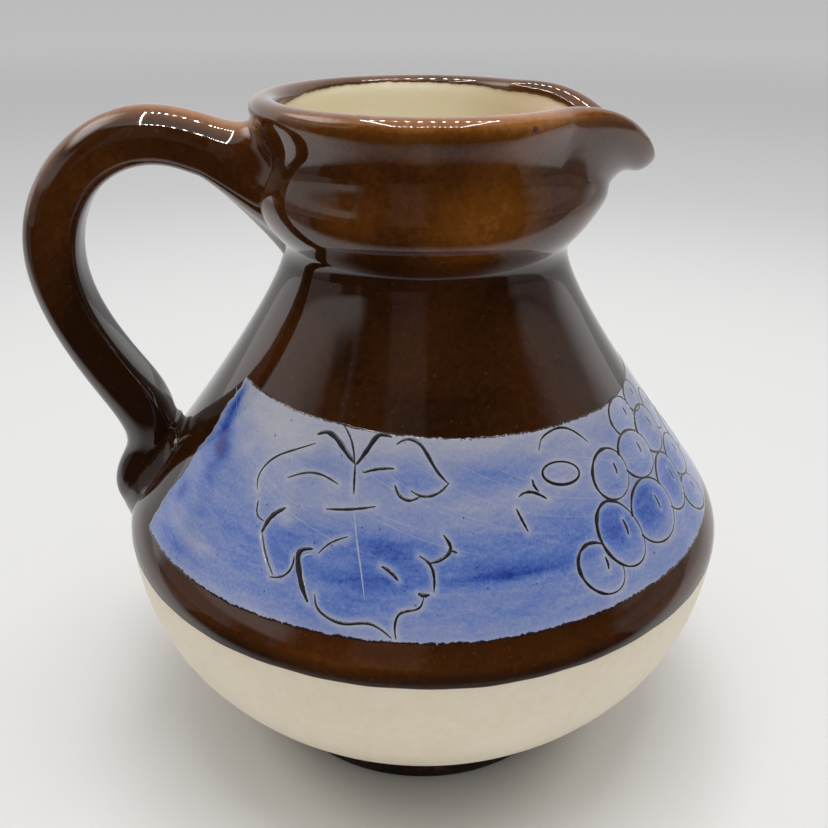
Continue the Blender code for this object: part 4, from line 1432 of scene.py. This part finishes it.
def buildWorld():
    # an even room for matte surfaces; the gloss sees pale walls with a dim opening towards the camera
    s = studio
    world = bpy.data.worlds.new("studioRoom")
    bpy.context.scene.world = world
    world.use_nodes = True
    tree = world.node_tree
    toward = addNode(tree, "TexCoord").outputs["Generated"]
    turned = addNode(tree, "VectorRotate", {"Vector": toward, "Angle": 0.5 * math.pi - photoSide},
                     rotation_type="Z_AXIS").outputs[0]
    x, y, z = addNode(tree, "SeparateXYZ", {0: turned}).outputs
    around = sums(tree, "DEGREES", sums(tree, "ARCTAN2", sums(tree, "MULTIPLY", x, -1.0), y))
    lift = sums(tree, "DEGREES", sums(tree, "ARCSINE", z))
    mirrored = blendColors(tree, span(tree, lift, *s["ceilingLift"]), s["walls"], s["ceiling"])
    for left, right, low, high, soft, color in s["front"]:
        fade = max(3.0, 0.8 * soft)
        opening = sums(tree, "MULTIPLY", between(tree, around, left, right, soft, soft),
                       between(tree, lift, low, high, 0.5 * fade, fade))
        mirrored = blendColors(tree, opening, mirrored, color)
    room, dimRoom, shown = ((k,) * 3 for k in (s["room"], s["room"] * s["lowDiffuse"], s["shown"]))
    even = blendColors(tree, span(tree, lift, *s["roomLift"]), dimRoom, room)
    rays = addNode(tree, "LightPath").outputs
    color = blendColors(tree, rays["Is Glossy Ray"], even, mirrored)
    background = tree.nodes["Background"]
    feed(tree, background.inputs["Color"], blendColors(tree, rays["Is Camera Ray"], color, shown))
    background.inputs["Strength"].default_value = 1.0


def buildPanelLight():
    # a square lamp over the jug, turned to face its foot, that the gloss doesn't see
    light = bpy.data.lights.new("softPanel", "AREA")
    light.energy = studio["panelWatts"]
    light.shape = "SQUARE"
    light.size = studio["panelSize"]
    lamp = placed("softPanel", light)
    lamp.location = studio["panelPlace"]
    lamp.rotation_euler = Vector(studio["panelPlace"]).to_track_quat("Z", "Y").to_euler()
    lamp.visible_glossy = False


# Camera as the photograph's, in an image 828 pixels square
lens = {"pixels": 828.0, "focal": 938.2, "distance": 0.1456, "height": 0.1259, "pitch": 23.80, "yaw": -0.66,
        "roll": 0.36, "turn": -6.0, "centerRow": 374.8}


def buildCamera():
    # right, up and forward from yaw and pitch, rolled about the view, then swung round the jug
    yaw, pitch, roll = (math.radians(lens[k]) for k in ("yaw", "pitch", "roll"))
    right = Vector((math.cos(yaw), -math.sin(yaw), 0.0))
    forward = Vector((math.cos(pitch) * math.sin(yaw), math.cos(pitch) * math.cos(yaw), -math.sin(pitch)))
    up = right.cross(forward)
    rolledRight = math.cos(roll) * right + math.sin(roll) * up
    rolledUp = math.cos(roll) * up - math.sin(roll) * right
    facing = Matrix((rolledRight, rolledUp, -forward)).transposed().to_4x4()
    data = bpy.data.cameras.new("photoCamera")
    data.sensor_width = 36.0
    data.sensor_fit = "HORIZONTAL"
    data.lens = lens["focal"] / lens["pixels"] * data.sensor_width
    data.shift_y = (lens["centerRow"] - 0.5 * lens["pixels"]) / lens["pixels"]
    data.clip_start = 0.001
    camera = placed("photoCamera", data)
    swing = Matrix.Rotation(math.radians(lens["turn"]), 4, "Z")
    camera.matrix_world = swing @ Matrix.Translation((0.0, -lens["distance"], lens["height"])) @ facing
    bpy.context.scene.camera = camera


buildFloor()
buildLampFrame()
buildWorld()
buildPanelLight()
buildCamera()
bpy.context.scene.view_settings.view_transform = "Standard"
print("stage set")
